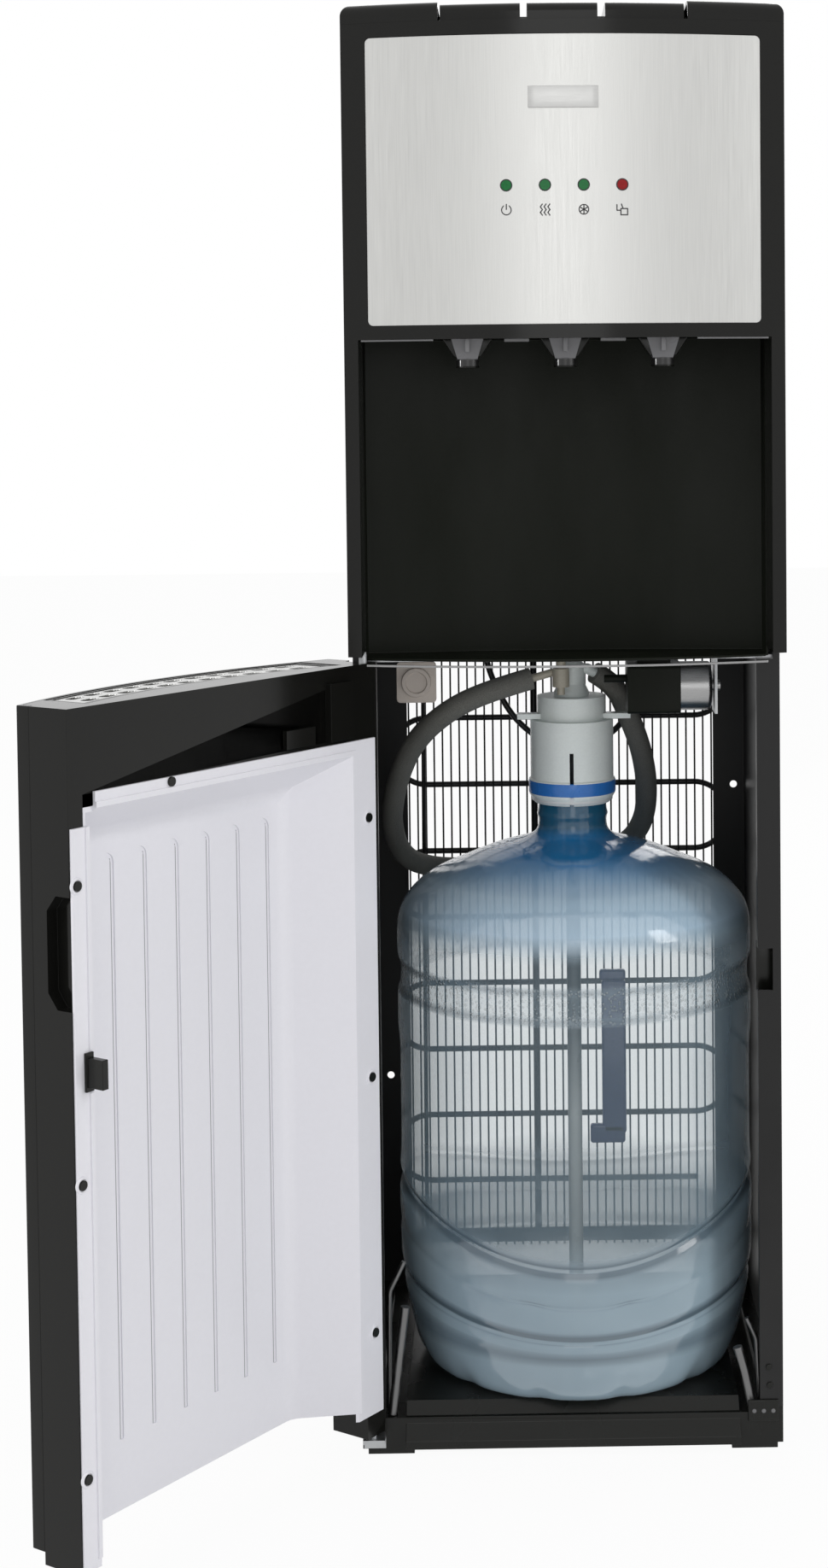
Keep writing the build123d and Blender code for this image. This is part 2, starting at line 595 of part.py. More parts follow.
def water_lines():
    """Pipes from the tanks and the pump to the three taps."""
    inlet = CEILING + 34
    behind = CABINET_FRONT + 53
    tanks = {
        -TAP_PITCH: (HOT_X, HOT_Y, TANK_LEVEL + 156, 30),
        TAP_PITCH: (COLD_X, COLD_Y, TANK_LEVEL + 185, 20),
    }
    lines = tube([(0, behind, SHELF_TOP), (0, behind, inlet), (0, TAP_Y + 20, inlet)], 3.5, 12)
    for tap_x, (x, y, port, rise) in tanks.items():
        level = port + rise
        lines += tube([(x, y, port), (x, y, level), (tap_x, behind, level), (tap_x, behind, inlet),
                       (tap_x, TAP_Y + 20, inlet)], 3.5, 12)
    return lines


def tap(x):
    """A tap: faceted cone and nozzle under the ceiling, valve body and inlet above it."""
    top = CEILING
    low = top - CONE_HEIGHT
    seat = Plane(origin=(x, TAP_Y, low)) * Rectangle(14, 14)
    flare = Plane(origin=(x, TAP_Y, top)) * Rectangle(23, 20)
    body = loft([seat.face(), flare.face()])
    body += span(x - 1.5, x + 1.5, TAP_Y - 13, TAP_Y + 13, top - 10, top)
    body += Pos(x, TAP_Y, low - NOZZLE_LENGTH / 2) * Cylinder(NOZZLE_RADIUS, NOZZLE_LENGTH)
    body += rod(9, (x, TAP_Y, top - 1), (x, TAP_Y, top + 3))
    body += rod(11, (x, TAP_Y, top + 2.5), (x, TAP_Y, top + 52))
    body += rod(4.5, (x, TAP_Y, top + 34), (x, TAP_Y + 20, top + 34))
    body -= rod(4, (x, TAP_Y, low - NOZZLE_LENGTH - 1), (x, TAP_Y, top + 12))
    return body - rod(STEM_RADIUS + SLIDE_FIT, (x, TAP_Y, top + 26), (x, TAP_Y, top + 53))


def stem(x):
    """Push rod from the key down into the tap."""
    bottom = CEILING + 34
    return rod(STEM_RADIUS, (x, TAP_Y, bottom), (x, TAP_Y, PIVOT_Z - 3.5)) \
        + rod(4.5, (x, TAP_Y, PIVOT_Z - 3.5), (x, TAP_Y, PIVOT_Z))


def key(name, tap_x):
    """A key: shell over the top front edge, pivot barrel at the rear, boss over its push rod."""
    x0, x1 = KEY_RANGES[name]
    top = HEIGHT - 1.5
    back = PIVOT_Y - 2
    keep = span(x0, x1, -REAR - 1, back + 1, KEY_LINE - 10, HEIGHT)
    hollow = span(x0 + KEY_SHELL, x1 - KEY_SHELL, -REAR - 1, back + 1, KEY_LINE - 10, HEIGHT)
    outer = cap_block(KEY_INSET, KEY_LINE - 3, top, back, 7.0)
    inner = cap_block(KEY_INSET + KEY_SHELL, KEY_LINE - 4, top - KEY_SHELL, back + 10, 5.0)
    body = (outer & keep) - (inner & hollow)
    for x in (x0, x1 - KEY_SHELL):
        body += span(x, x + KEY_SHELL, PIVOT_Y - 8, PIVOT_Y + 2, PIVOT_Z - 3.5, top - 3)
    body += rod(3.5, (x0, PIVOT_Y, PIVOT_Z), (x1, PIVOT_Y, PIVOT_Z))
    body -= rod(PIVOT_RADIUS + SHAFT_FIT, (x0 - 1, PIVOT_Y, PIVOT_Z), (x1 + 1, PIVOT_Y, PIVOT_Z))
    return body + rod(3, (tap_x, TAP_Y, PIVOT_Z + SWING_GAP), (tap_x, TAP_Y, top - 1))


def lock_slot():
    """X and Y limits of the lock's slot in the hot key."""
    x = KEY_RANGES["hot"][1] - 20
    return x - 5, x + 5, TAP_Y + 13, TAP_Y + 31


def hot_key():
    x0, x1, y0, y1 = lock_slot()
    return key("hot", -TAP_PITCH) - span(x0, x1, y0, y1, HEIGHT - 8, HEIGHT + 1)


def child_lock():
    """Slider in the hot key's top."""
    x0, x1, y0, _ = lock_slot()
    under = HEIGHT - 1.5 - KEY_SHELL
    knob = span(x0 + SWING_GAP, x1 - SWING_GAP, y0 + SWING_GAP, y0 + 8, under - 2.3, HEIGHT)
    return knob + span(x0 - 2, x1 + 2, y0 - 1, y0 + 9, under - 3, under - SWING_GAP)


def key_shaft():
    """The bar that the three keys turn on."""
    ends = KEY_RANGES["cold"][1] + 4.6
    return rod(PIVOT_RADIUS, (-ends, PIVOT_Y, PIVOT_Z), (ends, PIVOT_Y, PIVOT_Z))


# ---------------------------------------------------------------- pump, hose and probe


def pump_bracket():
    """Angle that hangs the pump under the shelf."""
    under = SHELF_TOP - SHELF_SHEET
    bracket = span(45, 113, -52, -8, under - 2, under) + span(113, 115, -44, -16, under - 48, under)
    return bracket - rod(4.2, (112, -30, under - 28), (116, -30, under - 28))


def pump_head():
    """Diaphragm pump head with its two barbs."""
    top = SHELF_TOP - SHELF_SHEET - 2
    head = span(47, 87, -50, -10, top - 45, top - 7.5)
    head = fillet(head.edges().filter_by(Axis.X), 4)
    head += span(55, 80, -40, -20, top - 8, top)
    head += rod(3.5, (67, -8, 556), (67, -11, 556))
    return head + rod(3, (47, -30, top - 20), (30, -30, top - 20))


def pump_motor():
    """Motor can on the pump head's axis."""
    z = SHELF_TOP - SHELF_SHEET - 28
    can = rod(18.5, (87, -30, z), (111, -30, z))
    can = fillet(can.edges().sort_by(Axis.X)[-1], 3)
    return can + rod(4, (110, -30, z), (118, -30, z))


def hose_fitting():
    """Tee under the shelf that the hose and the pump join."""
    under = SHELF_TOP - SHELF_SHEET
    end = Vector(*HOSE_POINTS[0])
    run = Vector(*HOSE_POINTS[1]) - end
    start = end - run.normalized() * 21
    x, y = TEE_X, TEE_Y
    tee = turned(x, y, [(0, under - 16), (3.7, under - 16), (3.7, under - 3), (7, under - 3), (7, under),
                        (3.7, under), (3.7, SHELF_TOP + 6), (0, SHELF_TOP + 6)])
    tee += turned(x, y, [(0, under - 35), (3, under - 35), (3, under - 29), (6.5, under - 29),
                         (6.5, under - 15), (0, under - 15)])
    return tee + rod(3, tuple(start), HOSE_POINTS[0])


def probe_hanger():
    """Square hook plate that the probe hangs on while a bottle is changed."""
    under = SHELF_TOP - SHELF_SHEET
    x, z = -112, under - 23
    plate = span(x - 15, x + 15, -33, -29, z - 15.5, z + 15.5)
    plate = fillet(plate.edges().filter_by(Axis.Y), 3)
    plate += rod(11, (x, -36, z), (x, -33, z)) - rod(8, (x, -37, z), (x, -34.5, z))
    plate += span(x - 8, x + 8, -31, -29, z + 15, under)
    return plate + span(x - 8, x + 8, -31, -12, under - 2, under)


def shelf_bolts():
    """Hexagon heads under the shelf."""
    under = SHELF_TOP - SHELF_SHEET
    bolts = Part()
    for x, y in ((20, -66), (78, -66), (-70, -66), (-30, 110), (96, 110)):
        bolts += Pos(x, y, under) * extrude(RegularPolygon(4, 6), -3)
    return bolts


def insulated_hose():
    return cord(HOSE_POINTS, HOSE_RADIUS, "insulated_hose")


def pump_lead():
    return cord(LEAD_POINTS, LEAD_RADIUS, "pump_lead")


def water_bottle():
    """The 18.9 litre bottle: stepped wall with its grip bands, shoulder and neck."""
    r, z, wall = BOTTLE_RADIUS, PLATFORM_TOP, BOTTLE_WALL
    foot = [(r - 22, 0), (r - 14, 12), (r - 10, 26), (r - 1, 52), (r, 60)]
    ribs = [(r, 86), (r - 4, 91), (r, 96), (r, 132), (r - 4, 137), (r - 1.5, 142)]
    bands = [(r - 1.5, 254), (r, 259), (r, 286), (r - 3, 290), (r - 3, 308), (r, 312), (r, 336)]
    shoulder = [(r - 1.4, 344), (r - 6, 354), (r - 19, 368), (r - 34, 377), (r - 57, 387), (r - 75, 395)]
    rim = NECK_RIM - PLATFORM_TOP
    neck = [(NECK_RADIUS + 11, rim - 35), (NECK_RADIUS, rim - 30), (NECK_RADIUS, rim - 17),
            (NECK_RADIUS + 2, rim - 15), (NECK_RADIUS, rim - 13)]
    outer = foot + ribs + bands + shoulder + neck
    bore = NECK_RADIUS - wall
    inner = [(bore, rim)]
    for radius, height in outer[:0:-1]:
        sloping = radius < r - 7 and height > 300
        inner.append((max(radius - wall, bore), height - (wall if sloping else 0)))
    inner.append((r - 40, 2.5))
    floor = [(r - 58, 9.5), (0, 9.5), (0, 7), (r - 60, 7), (r - 45, 0)]
    profile = floor[2:] + outer + [(NECK_RADIUS, rim)] + inner + floor[:2]
    return Pos(0, 0, z) * turned(BOTTLE_X, BOTTLE_Y, profile)


def probe_cap():
    """Sleeve over the bottle's neck, slit at the front."""
    bore = NECK_RADIUS + 2.3
    low = NECK_RIM - 6
    top = NECK_TOP - 2
    sleeve = [(bore, low), (28.9, low), (33.2, low + 7), (33.2, low + 18), (32, low + 19), (32, top),
              (8, top), (8, top - 3), (bore, top - 3)]
    slit = span(BOTTLE_X - 2.5, BOTTLE_X + 0.5, BOTTLE_Y - 40, BOTTLE_Y, low - 1, low + 41)
    return turned(BOTTLE_X, BOTTLE_Y, sleeve) - slit


def cap_collar():
    """Collar with its two finger tabs."""
    z = NECK_TOP - 2
    top = z + 18
    collar = turned(BOTTLE_X, BOTTLE_Y, [(PROBE_RADIUS, z), (26.5, z), (26.5, top), (PROBE_RADIUS, top)])
    for x0, x1 in ((-42, -24), (24, 45)):
        collar += span(BOTTLE_X + x0, BOTTLE_X + x1, BOTTLE_Y - 12, BOTTLE_Y, z + 1, z + 5)
    return collar


def cap_elbow():
    """Ribbed knob and side port above the collar."""
    z = NECK_TOP + 16
    profile = [(0, z), (13.5, z), (13.5, z + 3), (10.5, z + 9), (10.5, z + 24), (8, z + 26), (0, z + 26)]
    end = Vector(*HOSE_POINTS[-1])
    run = Vector(*HOSE_POINTS[-2]) - end
    start = end - run.normalized() * 7
    port = rod(4, (BOTTLE_X, BOTTLE_Y, start.Z), tuple(start)) + Pos(*start) * Sphere(4)
    return turned(BOTTLE_X, BOTTLE_Y, profile) + port + rod(4, tuple(start), HOSE_POINTS[-1])


def probe_tube():
    """Dip tube from the collar to near the bottle's floor."""
    bottom = PLATFORM_TOP + 18
    tube_wall = rod(PROBE_RADIUS, (BOTTLE_X, BOTTLE_Y, bottom), (BOTTLE_X, BOTTLE_Y, NECK_TOP + 16))
    return tube_wall - rod(3.5, (BOTTLE_X, BOTTLE_Y, bottom - 1), (BOTTLE_X, BOTTLE_Y, NECK_TOP + 12))


def probe_foot():
    """Slotted foot at the probe's end."""
    z = PLATFORM_TOP + 10
    foot = turned(BOTTLE_X, BOTTLE_Y, [(6.2, z), (6.2, z + 14), (PROBE_RADIUS, z + 14), (PROBE_RADIUS, z + 8),
                                       (3, z + 8), (3, z)])
    return foot


# ---------------------------------------------------------------- condenser


def condenser_wires():
    """Upright wires ahead of the coil, and the straps that hold them to the rear returns."""
    reach = HALF - REAR_FLANGE
    count = int(2 * reach / WIRE_PITCH) + 1
    first = -(count - 1) * WIRE_PITCH / 2
    bottom = COIL_TOP - (COIL_ROWS - 1) * COIL_PITCH - 55
    wires = []
    for i in range(count):
        x = first + i * WIRE_PITCH
        wires.append(rod(WIRE_RADIUS, (x, WIRE_Y, bottom), (x, WIRE_Y, COIL_TOP + 36)))
    for z in (COIL_TOP + 22, bottom + 8):
        back = FLANGE_REAR + 2 * WIRE_RADIUS
        strap = span(-HALF + 8, HALF - 8, back, back + SHEET, z - 6, z + 6)
        wires.append(strap + both_sides(span(HALF - 16, HALF - 8, FLANGE_REAR, back + SHEET, z - 6, z + 6)))
    return Compound(wires)


def condenser_coil():
    """Serpentine tube: straight rows joined by half-round bends."""
    bend = COIL_PITCH / 2
    runs = []
    for row in range(COIL_ROWS):
        z = COIL_TOP - row * COIL_PITCH
        side = 1 if row % 2 == 0 else -1
        start = (-side * COIL_SPAN, COIL_Y, z)
        end = (side * COIL_SPAN, COIL_Y, z)
        runs.append(Line(start, end))
        if row < COIL_ROWS - 1:
            middle = (side * (COIL_SPAN + bend), COIL_Y, z - bend)
            runs.append(ThreePointArc(end, middle, (side * COIL_SPAN, COIL_Y, z - COIL_PITCH)))
    path = Wire(runs)
    start = Plane(origin=path @ 0, z_dir=path % 0)
    return sweep(start * Circle(COIL_RADIUS), path=path)


def refrigerant_lines():
    """Riser and capillary in front of the wires."""
    bottom = COIL_TOP - (COIL_ROWS - 1) * COIL_PITCH - 50
    y = FLANGE_REAR - SHEET - 2.4
    under = SHELF_TOP - SHELF_SHEET
    lines = rod(2.8, (-22, y, bottom), (-22, y, under)) + rod(1.75, (-116, y, bottom), (-114, y, under))
    return lines


# ---------------------------------------------------------------- door, modelled closed


def door_front():
    """Bowed outer shell with its returns and the seat of the stainless skin."""
    half = HALF
    seam = FRONT_CORNER + RETURN
    shell = bow_sheet(-half, half, 0, SHELL, DOOR_FLOOR, DOOR_TOP)
    shell += both_sides(span(half - SHELL, half, FRONT_CORNER, seam, DOOR_FLOOR, DOOR_TOP))
    return shell - bow_sheet(-PANEL_HALF, PANEL_HALF, -1, 2.4, DOOR_FLOOR + 16, DOOR_TOP - 26)


def door_skin():
    gap = 0.4
    half = PANEL_HALF - gap
    return bow_sheet(-half, half, 0.4, 1.0, DOOR_FLOOR + 16 + gap, DOOR_TOP - 26 - gap)


def door_frame():
    """Legs, top block with the tray well, pin bores, relief groove and finger grip."""
    seam = FRONT_CORNER + RETURN
    back = DOOR_INNER - LINER_SHEET
    inner = HALF - SHELL
    frame = span(-HALF, -HALF + HINGE_LEG, seam, back, LEG_BOTTOM, BLOCK_BOTTOM)
    frame += span(HALF - FREE_LEG, HALF, seam, back, FREE_LEG_BOTTOM, BLOCK_BOTTOM)
    block = bow_block(-inner, inner, SHELL, seam, BLOCK_BOTTOM, DOOR_TOP)
    block += span(-HALF, HALF, seam, back, BLOCK_BOTTOM, DOOR_TOP)
    well = TRAY_BAND + 2 * LIFT_GAP
    block -= bow_sheet(-TRAY_HALF, TRAY_HALF, SHELL - 1, well + 1, DOOR_TOP - TRAY_DEPTH - 1, DOOR_TOP + 1)
    hollow = bow_block(-HALF + 24, HALF - 24, SHELL + 6, back - MOULDING, BLOCK_BOTTOM - 1,
                       DOOR_TOP - TRAY_DEPTH - 1 - MOULDING)
    frame += block - hollow
    frame += span(-HALF + 72, -HALF + 103, back - 1, back + 3, BLOCK_BOTTOM + 4, BLOCK_BOTTOM + 17)
    frame += span(-HALF + 32, -HALF + 57, back - 1, back + 5, BLOCK_BOTTOM + 4, DOOR_TOP - 10)
    relief = [(-HALF - 1, DOOR_INNER - 9.2), (-HALF, DOOR_INNER - 9.5), (-HALF + 7, DOOR_INNER - 14),
              (-HALF + 7, DOOR_INNER - 24), (-HALF, DOOR_INNER - 26), (-HALF - 1, DOOR_INNER - 26.3)]
    frame -= upright(relief, LEG_BOTTOM - 1, DOOR_TOP + 1)
    corner = span(-HALF - 1, -HALF + 4, back - 4, back + 1, LEG_BOTTOM - 1, DOOR_TOP + 1)
    frame -= corner - rod(5, (-HALF + 4, back - 3, LEG_BOTTOM - 2), (-HALF + 4, back - 3, DOOR_TOP + 2))
    grip = [(back + 1, GRIP_BOTTOM), (back - 12, GRIP_BOTTOM), (back - 20, GRIP_BOTTOM + 10),
            (back - 20, GRIP_TOP - 10), (back - 12, GRIP_TOP), (back + 1, GRIP_TOP)]
    frame -= crosswise(grip, HALF - GRIP_DEPTH, HALF + 1)
    bore = PIN_RADIUS + SHAFT_FIT
    frame -= hinge_bar(bore, LEG_BOTTOM - 1, LEG_BOTTOM + PIN_LENGTH)
    return frame - hinge_bar(bore, DOOR_TOP - PIN_LENGTH, DOOR_TOP + 1)


def recess_mouth():
    """The left, right and top edges of the recess in the liner's face."""
    return -HALF + 30, HALF - 15.5, BLOCK_BOTTOM - 8.5


def recess(grow, low):
    """The liner's recess, as a solid that is larger by grow; open at the bottom, down to low."""
    left, right, top = recess_mouth()
    left, right, top = left - grow, right + grow, top + grow
    deep_left, deep_right = -HALF + 65 - grow, HALF - 20 + grow
    rim = DOOR_INNER + (0 if grow else LIP_RISE + 1)
    floor = DOOR_INNER - RECESS_DEPTH - grow
    deep_top = BLOCK_BOTTOM - 33 + grow
    mouth = Pos((left + right) / 2, rim, (top + low) / 2) * (Plane.XZ * Rectangle(right - left, top - low))
    bottom = Pos((deep_left + deep_right) / 2, floor, (deep_top + low) / 2) \
        * (Plane.XZ * Rectangle(deep_right - deep_left, deep_top - low))
    body = loft([mouth.face(), bottom.face()])
    folds = body.faces().sort_by(Axis.Y)[0].edges().sort_by(Axis.Z)[1:]
    return fillet(folds, FOLD_RADIUS + grow)


def door_liner():
    """Thermoformed liner: flange, recess open at the bottom, and the beads in its floor."""
    left, right = -HALF + 4, HALF - 1
    back = DOOR_INNER - LINER_SHEET
    low = LINER_FOOT
    liner = span(left, right, back, DOOR_INNER, LINER_FOOT, BLOCK_BOTTOM + 1)
    liner += recess(LINER_SHEET, low)
    liner -= span(-HALF - 1, HALF + 1, -REAR, back, low - 1, DOOR_FLOOR)
    liner += liner_lip()
    liner -= recess(0, low - 5)
    liner -= span(HALF - 22, HALF + 1, back - 1, DOOR_INNER + 2, BLOCK_BOTTOM - 20, BLOCK_BOTTOM + 2)
    for i in range(GROOVE_COUNT):
        liner -= bead(-HALF + GROOVE_START + i * GROOVE_PITCH)
    return liner


def liner_lip():
    """The raised edge round the recess's mouth, open at the bottom and beside the catch."""
    left, right, top = recess_mouth()
    left, right, top = left - LIP_WIDTH, right + LIP_WIDTH, top + LIP_WIDTH
    lip = span(left, right, DOOR_INNER - 1, DOOR_INNER + LIP_RISE, DOOR_FLOOR, top)
    catch_top = CATCH_BOTTOM + CATCH_HEIGHT
    return lip - span(HALF - 17, HALF, DOOR_INNER, DOOR_INNER + 2, CATCH_BOTTOM - 1, catch_top + 1)


def bead(x):
    """An upright groove whose top curls over to the free side."""
    floor = DOOR_INNER - RECESS_DEPTH
    side = GROOVE_WIDTH / 2
    bend = GROOVE_TOP - HOOK_RADIUS
    groove = span(x - side, x + side, floor - GROOVE_DEPTH, floor + 1, GROOVE_BOTTOM, bend)
    middle = x + HOOK_RADIUS
    back, ahead = (middle, floor - GROOVE_DEPTH, bend), (middle, floor + 1, bend)
    hook = rod(HOOK_RADIUS + side, back, ahead) - rod(HOOK_RADIUS - side, back, ahead)
    reach = HOOK_RADIUS + side + 1
    quarter = span(middle - reach, middle, floor - 5, floor + 5, bend, bend + reach)
    return groove + (hook & quarter)


def liner_screws():
    """Pan head screws through the liner's flange."""
    places = [(x, z) for x in (-HALF + 13, HALF - 4.5) for z in (98, 286, 475)]
    places.append((-HALF + 218.6, BLOCK_BOTTOM - 2))
    return Compound([rod(3.2, (x, DOOR_INNER, z), (x, DOOR_INNER + 1.5, z)) for x, z in places])


def door_catch():
    """Push catch on the free side: base, ribbed tongue and cap."""
    x0, x1 = HALF - 15, HALF - 8
    top = CATCH_BOTTOM + CATCH_HEIGHT
    catch = span(x0, x1, DOOR_INNER, DOOR_INNER + 2, CATCH_BOTTOM, top)
    catch += span(x0 + 1, x1 - 1, DOOR_INNER, DOOR_INNER + CATCH_REACH, CATCH_BOTTOM + 3, top - 3)
    for i in range(4):
        z = CATCH_BOTTOM + 5 + i * 4.5
        catch -= span(x0, x0 + 2, DOOR_INNER + 3, DOOR_INNER + CATCH_REACH - 2, z, z + 2)
    return catch


def basin():
    """Half width, inset and band of the tray's inside, within its thin front rim and its broad others."""
    return TRAY_HALF - LIFT_GAP - TRAY_GRIP, SHELL + LIFT_GAP + TRAY_RIM, TRAY_BAND - TRAY_RIM - TRAY_GRIP


def drip_tray():
    """Crescent tray in the door's top, with the fins that carry the grille."""
    half = TRAY_HALF - LIFT_GAP
    low = DOOR_TOP - TRAY_DEPTH - 1
    inner, inset, band = basin()
    tray = bow_sheet(-half, half, SHELL + LIFT_GAP, TRAY_BAND, low, DOOR_TOP - 0.5)
    tray -= bow_sheet(-inner, inner, inset, band, low + 2, DOOR_TOP)
    end = inner - FIN_INSET
    for x in (-end, 0, end):
        y = bow_y(x, inset + band / 2)
        tray += span(x - 1, x + 1, y - FIN_LENGTH / 2, y + FIN_LENGTH / 2, low + 1, DOOR_TOP - GRILLE_DROP)
    return tray


def drip_grille():
    """Flat grille with rows of oval slots."""
    z = DOOR_TOP - GRILLE_DROP
    half, inset, band = basin()
    half, inset, band = half - LIFT_GAP, inset + LIFT_GAP, band - 2 * LIFT_GAP
    grille = bow_sheet(-half, half, inset, band, z, z + GRILLE_SHEET)
    pitch = 2 * half / (SLOT_COLUMNS + 0.6)
    for row in range(SLOT_ROWS):
        for column in range(SLOT_COLUMNS):
            x = (column - (SLOT_COLUMNS - 1) / 2) * pitch
            y = bow_y(x, inset + band * (row + 0.5) / SLOT_ROWS)
            tilt = math.degrees(math.asin(x / BOW_RADIUS))
            slot = extrude(SlotOverall(pitch - 5, 7), 4, both=True)
            grille -= Pos(x, y, z) * Rot(0, 0, tilt) * slot
    return grille


DOOR_PIECES = {
    "door_front": door_front,
    "door_skin": door_skin,
    "door_frame": door_frame,
    "door_liner": door_liner,
    "liner_screws": liner_screws,
    "door_catch": door_catch,
    "drip_tray": drip_tray,
    "drip_grille": drip_grille,
}

CABINET_PIECES = {
    "base_pan": base_pan,
    "left_side_panel": left_side_panel,
    "right_side_panel": right_side_panel,
    "front_housing": front_housing,
    "display_panel": display_panel,
    "indicator_lenses": indicator_lenses,
    "alcove_liner": alcove_liner,
    "top_cover": top_cover,
    "back_panel": back_panel,
    "drain_plug": drain_plug,
    "mains_gland": mains_gland,
    "switch_bezel": switch_bezel,
    "hinge_brackets": hinge_brackets,
    "bottle_guides": bottle_guides,
    "equipment_shelf": equipment_shelf,
    "tank_shelf": tank_shelf,
    "compressor": compressor,
    "cold_tank": cold_tank,
    "cold_tank_jacket": cold_tank_jacket,
    "hot_tank": hot_tank,
    "band_heater": band_heater,
    "water_lines": water_lines,
    "key_shaft": key_shaft,
    "hot_key": hot_key,
    "child_lock": child_lock,
    "pump_bracket": pump_bracket,
    "pump_head": pump_head,
    "pump_motor": pump_motor,
    "hose_fitting": hose_fitting,
    "probe_hanger": probe_hanger,
    "shelf_bolts": shelf_bolts,
    "insulated_hose": insulated_hose,
    "pump_lead": pump_lead,
    "water_bottle": water_bottle,
    "probe_cap": probe_cap,
    "cap_collar": cap_collar,
    "cap_elbow": cap_elbow,
    "probe_tube": probe_tube,
    "probe_foot": probe_foot,
    "condenser_wires": condenser_wires,
    "condenser_coil": condenser_coil,
    "refrigerant_lines": refrigerant_lines,
}

TAPS = {"hot": -TAP_PITCH, "room": 0.0, "cold": TAP_PITCH}

pieces = {}
for name, make in CABINET_PIECES.items():
    pieces[name] = make()
for name, make in DOOR_PIECES.items():
    pieces[name] = opened(make())
for name, x in TAPS.items():
    pieces[name + "_tap"] = tap(x)
    pieces[name + "_stem"] = stem(x)
for name in ("room", "cold"):
    pieces[name + "_key"] = key(name, TAPS[name])
for name, x in switch_places().items():
    pieces[name] = rocker(x)
for name, piece in pieces.items():
    export_step(piece, f"parts/{name}.step")
print(len(pieces), "nodes")
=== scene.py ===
"""The looks of a bottom load water cooler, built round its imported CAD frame.

Everything is in metres, in the frame of the CAD: X to the right, -Y to the front, Z up.
"""

import logging
import math
from collections.abc import Callable, Iterator, Sequence
from contextlib import contextmanager
from dataclasses import dataclass
from enum import Enum

import bmesh
import bpy
from mathutils import Matrix, Vector


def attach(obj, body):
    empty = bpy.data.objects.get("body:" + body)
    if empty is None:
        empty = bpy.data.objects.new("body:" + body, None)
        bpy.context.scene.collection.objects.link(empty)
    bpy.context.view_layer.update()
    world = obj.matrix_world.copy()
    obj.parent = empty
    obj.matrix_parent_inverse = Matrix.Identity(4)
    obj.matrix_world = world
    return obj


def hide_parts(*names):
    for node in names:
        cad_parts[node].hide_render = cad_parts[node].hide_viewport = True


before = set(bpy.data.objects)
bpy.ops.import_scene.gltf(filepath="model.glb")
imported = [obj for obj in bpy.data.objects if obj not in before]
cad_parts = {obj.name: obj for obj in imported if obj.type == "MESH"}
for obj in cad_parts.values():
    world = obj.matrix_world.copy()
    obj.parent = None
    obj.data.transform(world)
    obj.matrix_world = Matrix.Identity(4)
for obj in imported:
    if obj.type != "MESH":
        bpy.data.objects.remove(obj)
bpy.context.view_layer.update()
LOG = logging.getLogger("water_cooler")

Colour = tuple[float, float, float]
Point = tuple[float, float, float]
Pair = tuple[float, float]
MM = 0.001
NEAR = 0.0001
WHITE: Colour = (1.0, 1.0, 1.0)
NOISE_MIDDLE: Pair = (0.3, 0.7)
FRONT_Y = -0.18
BOTTLE_AXIS: Pair = (0.006, 0.005)
DOOR_HINGE: Pair = (-0.147, -0.1175)
DOOR_SWING = 125.0


# ---------------------------------------------------------------- shader maths


class Signal:
    """An output socket that takes part in Python arithmetic."""

    def __init__(self, recipe: "Recipe", socket: bpy.types.NodeSocket) -> None:
        """Wraps an output socket of a recipe's tree."""
        self.recipe = recipe
        self.socket = socket

    def _math(self, operation: str, first: object, second: object) -> "Signal":
        """The result of a Math node on two values."""
        return self.recipe.node("Math", {"operation": operation}, {0: first, 1: second})

    def __add__(self, other: object) -> "Signal":
        """The sum."""
        return self._math("ADD", self, other)

    __radd__ = __add__

    def __sub__(self, other: object) -> "Signal":
        """The difference."""
        return self._math("SUBTRACT", self, other)

    def __rsub__(self, other: object) -> "Signal":
        """The difference, the other way round."""
        return self._math("SUBTRACT", other, self)

    def __mul__(self, other: object) -> "Signal":
        """The product."""
        return self._math("MULTIPLY", self, other)

    __rmul__ = __mul__

    def __gt__(self, other: object) -> "Signal":
        """1 where it is the greater, else 0."""
        return self._math("GREATER_THAN", self, other)

    def __lt__(self, other: object) -> "Signal":
        """1 where it is the smaller, else 0."""
        return self._math("LESS_THAN", self, other)

    def __or__(self, other: object) -> "Signal":
        """The greater of the two."""
        return self._math("MAXIMUM", self, other)

    def __abs__(self) -> "Signal":
        """The distance from 0."""
        return self._math("ABSOLUTE", self, 0.0)


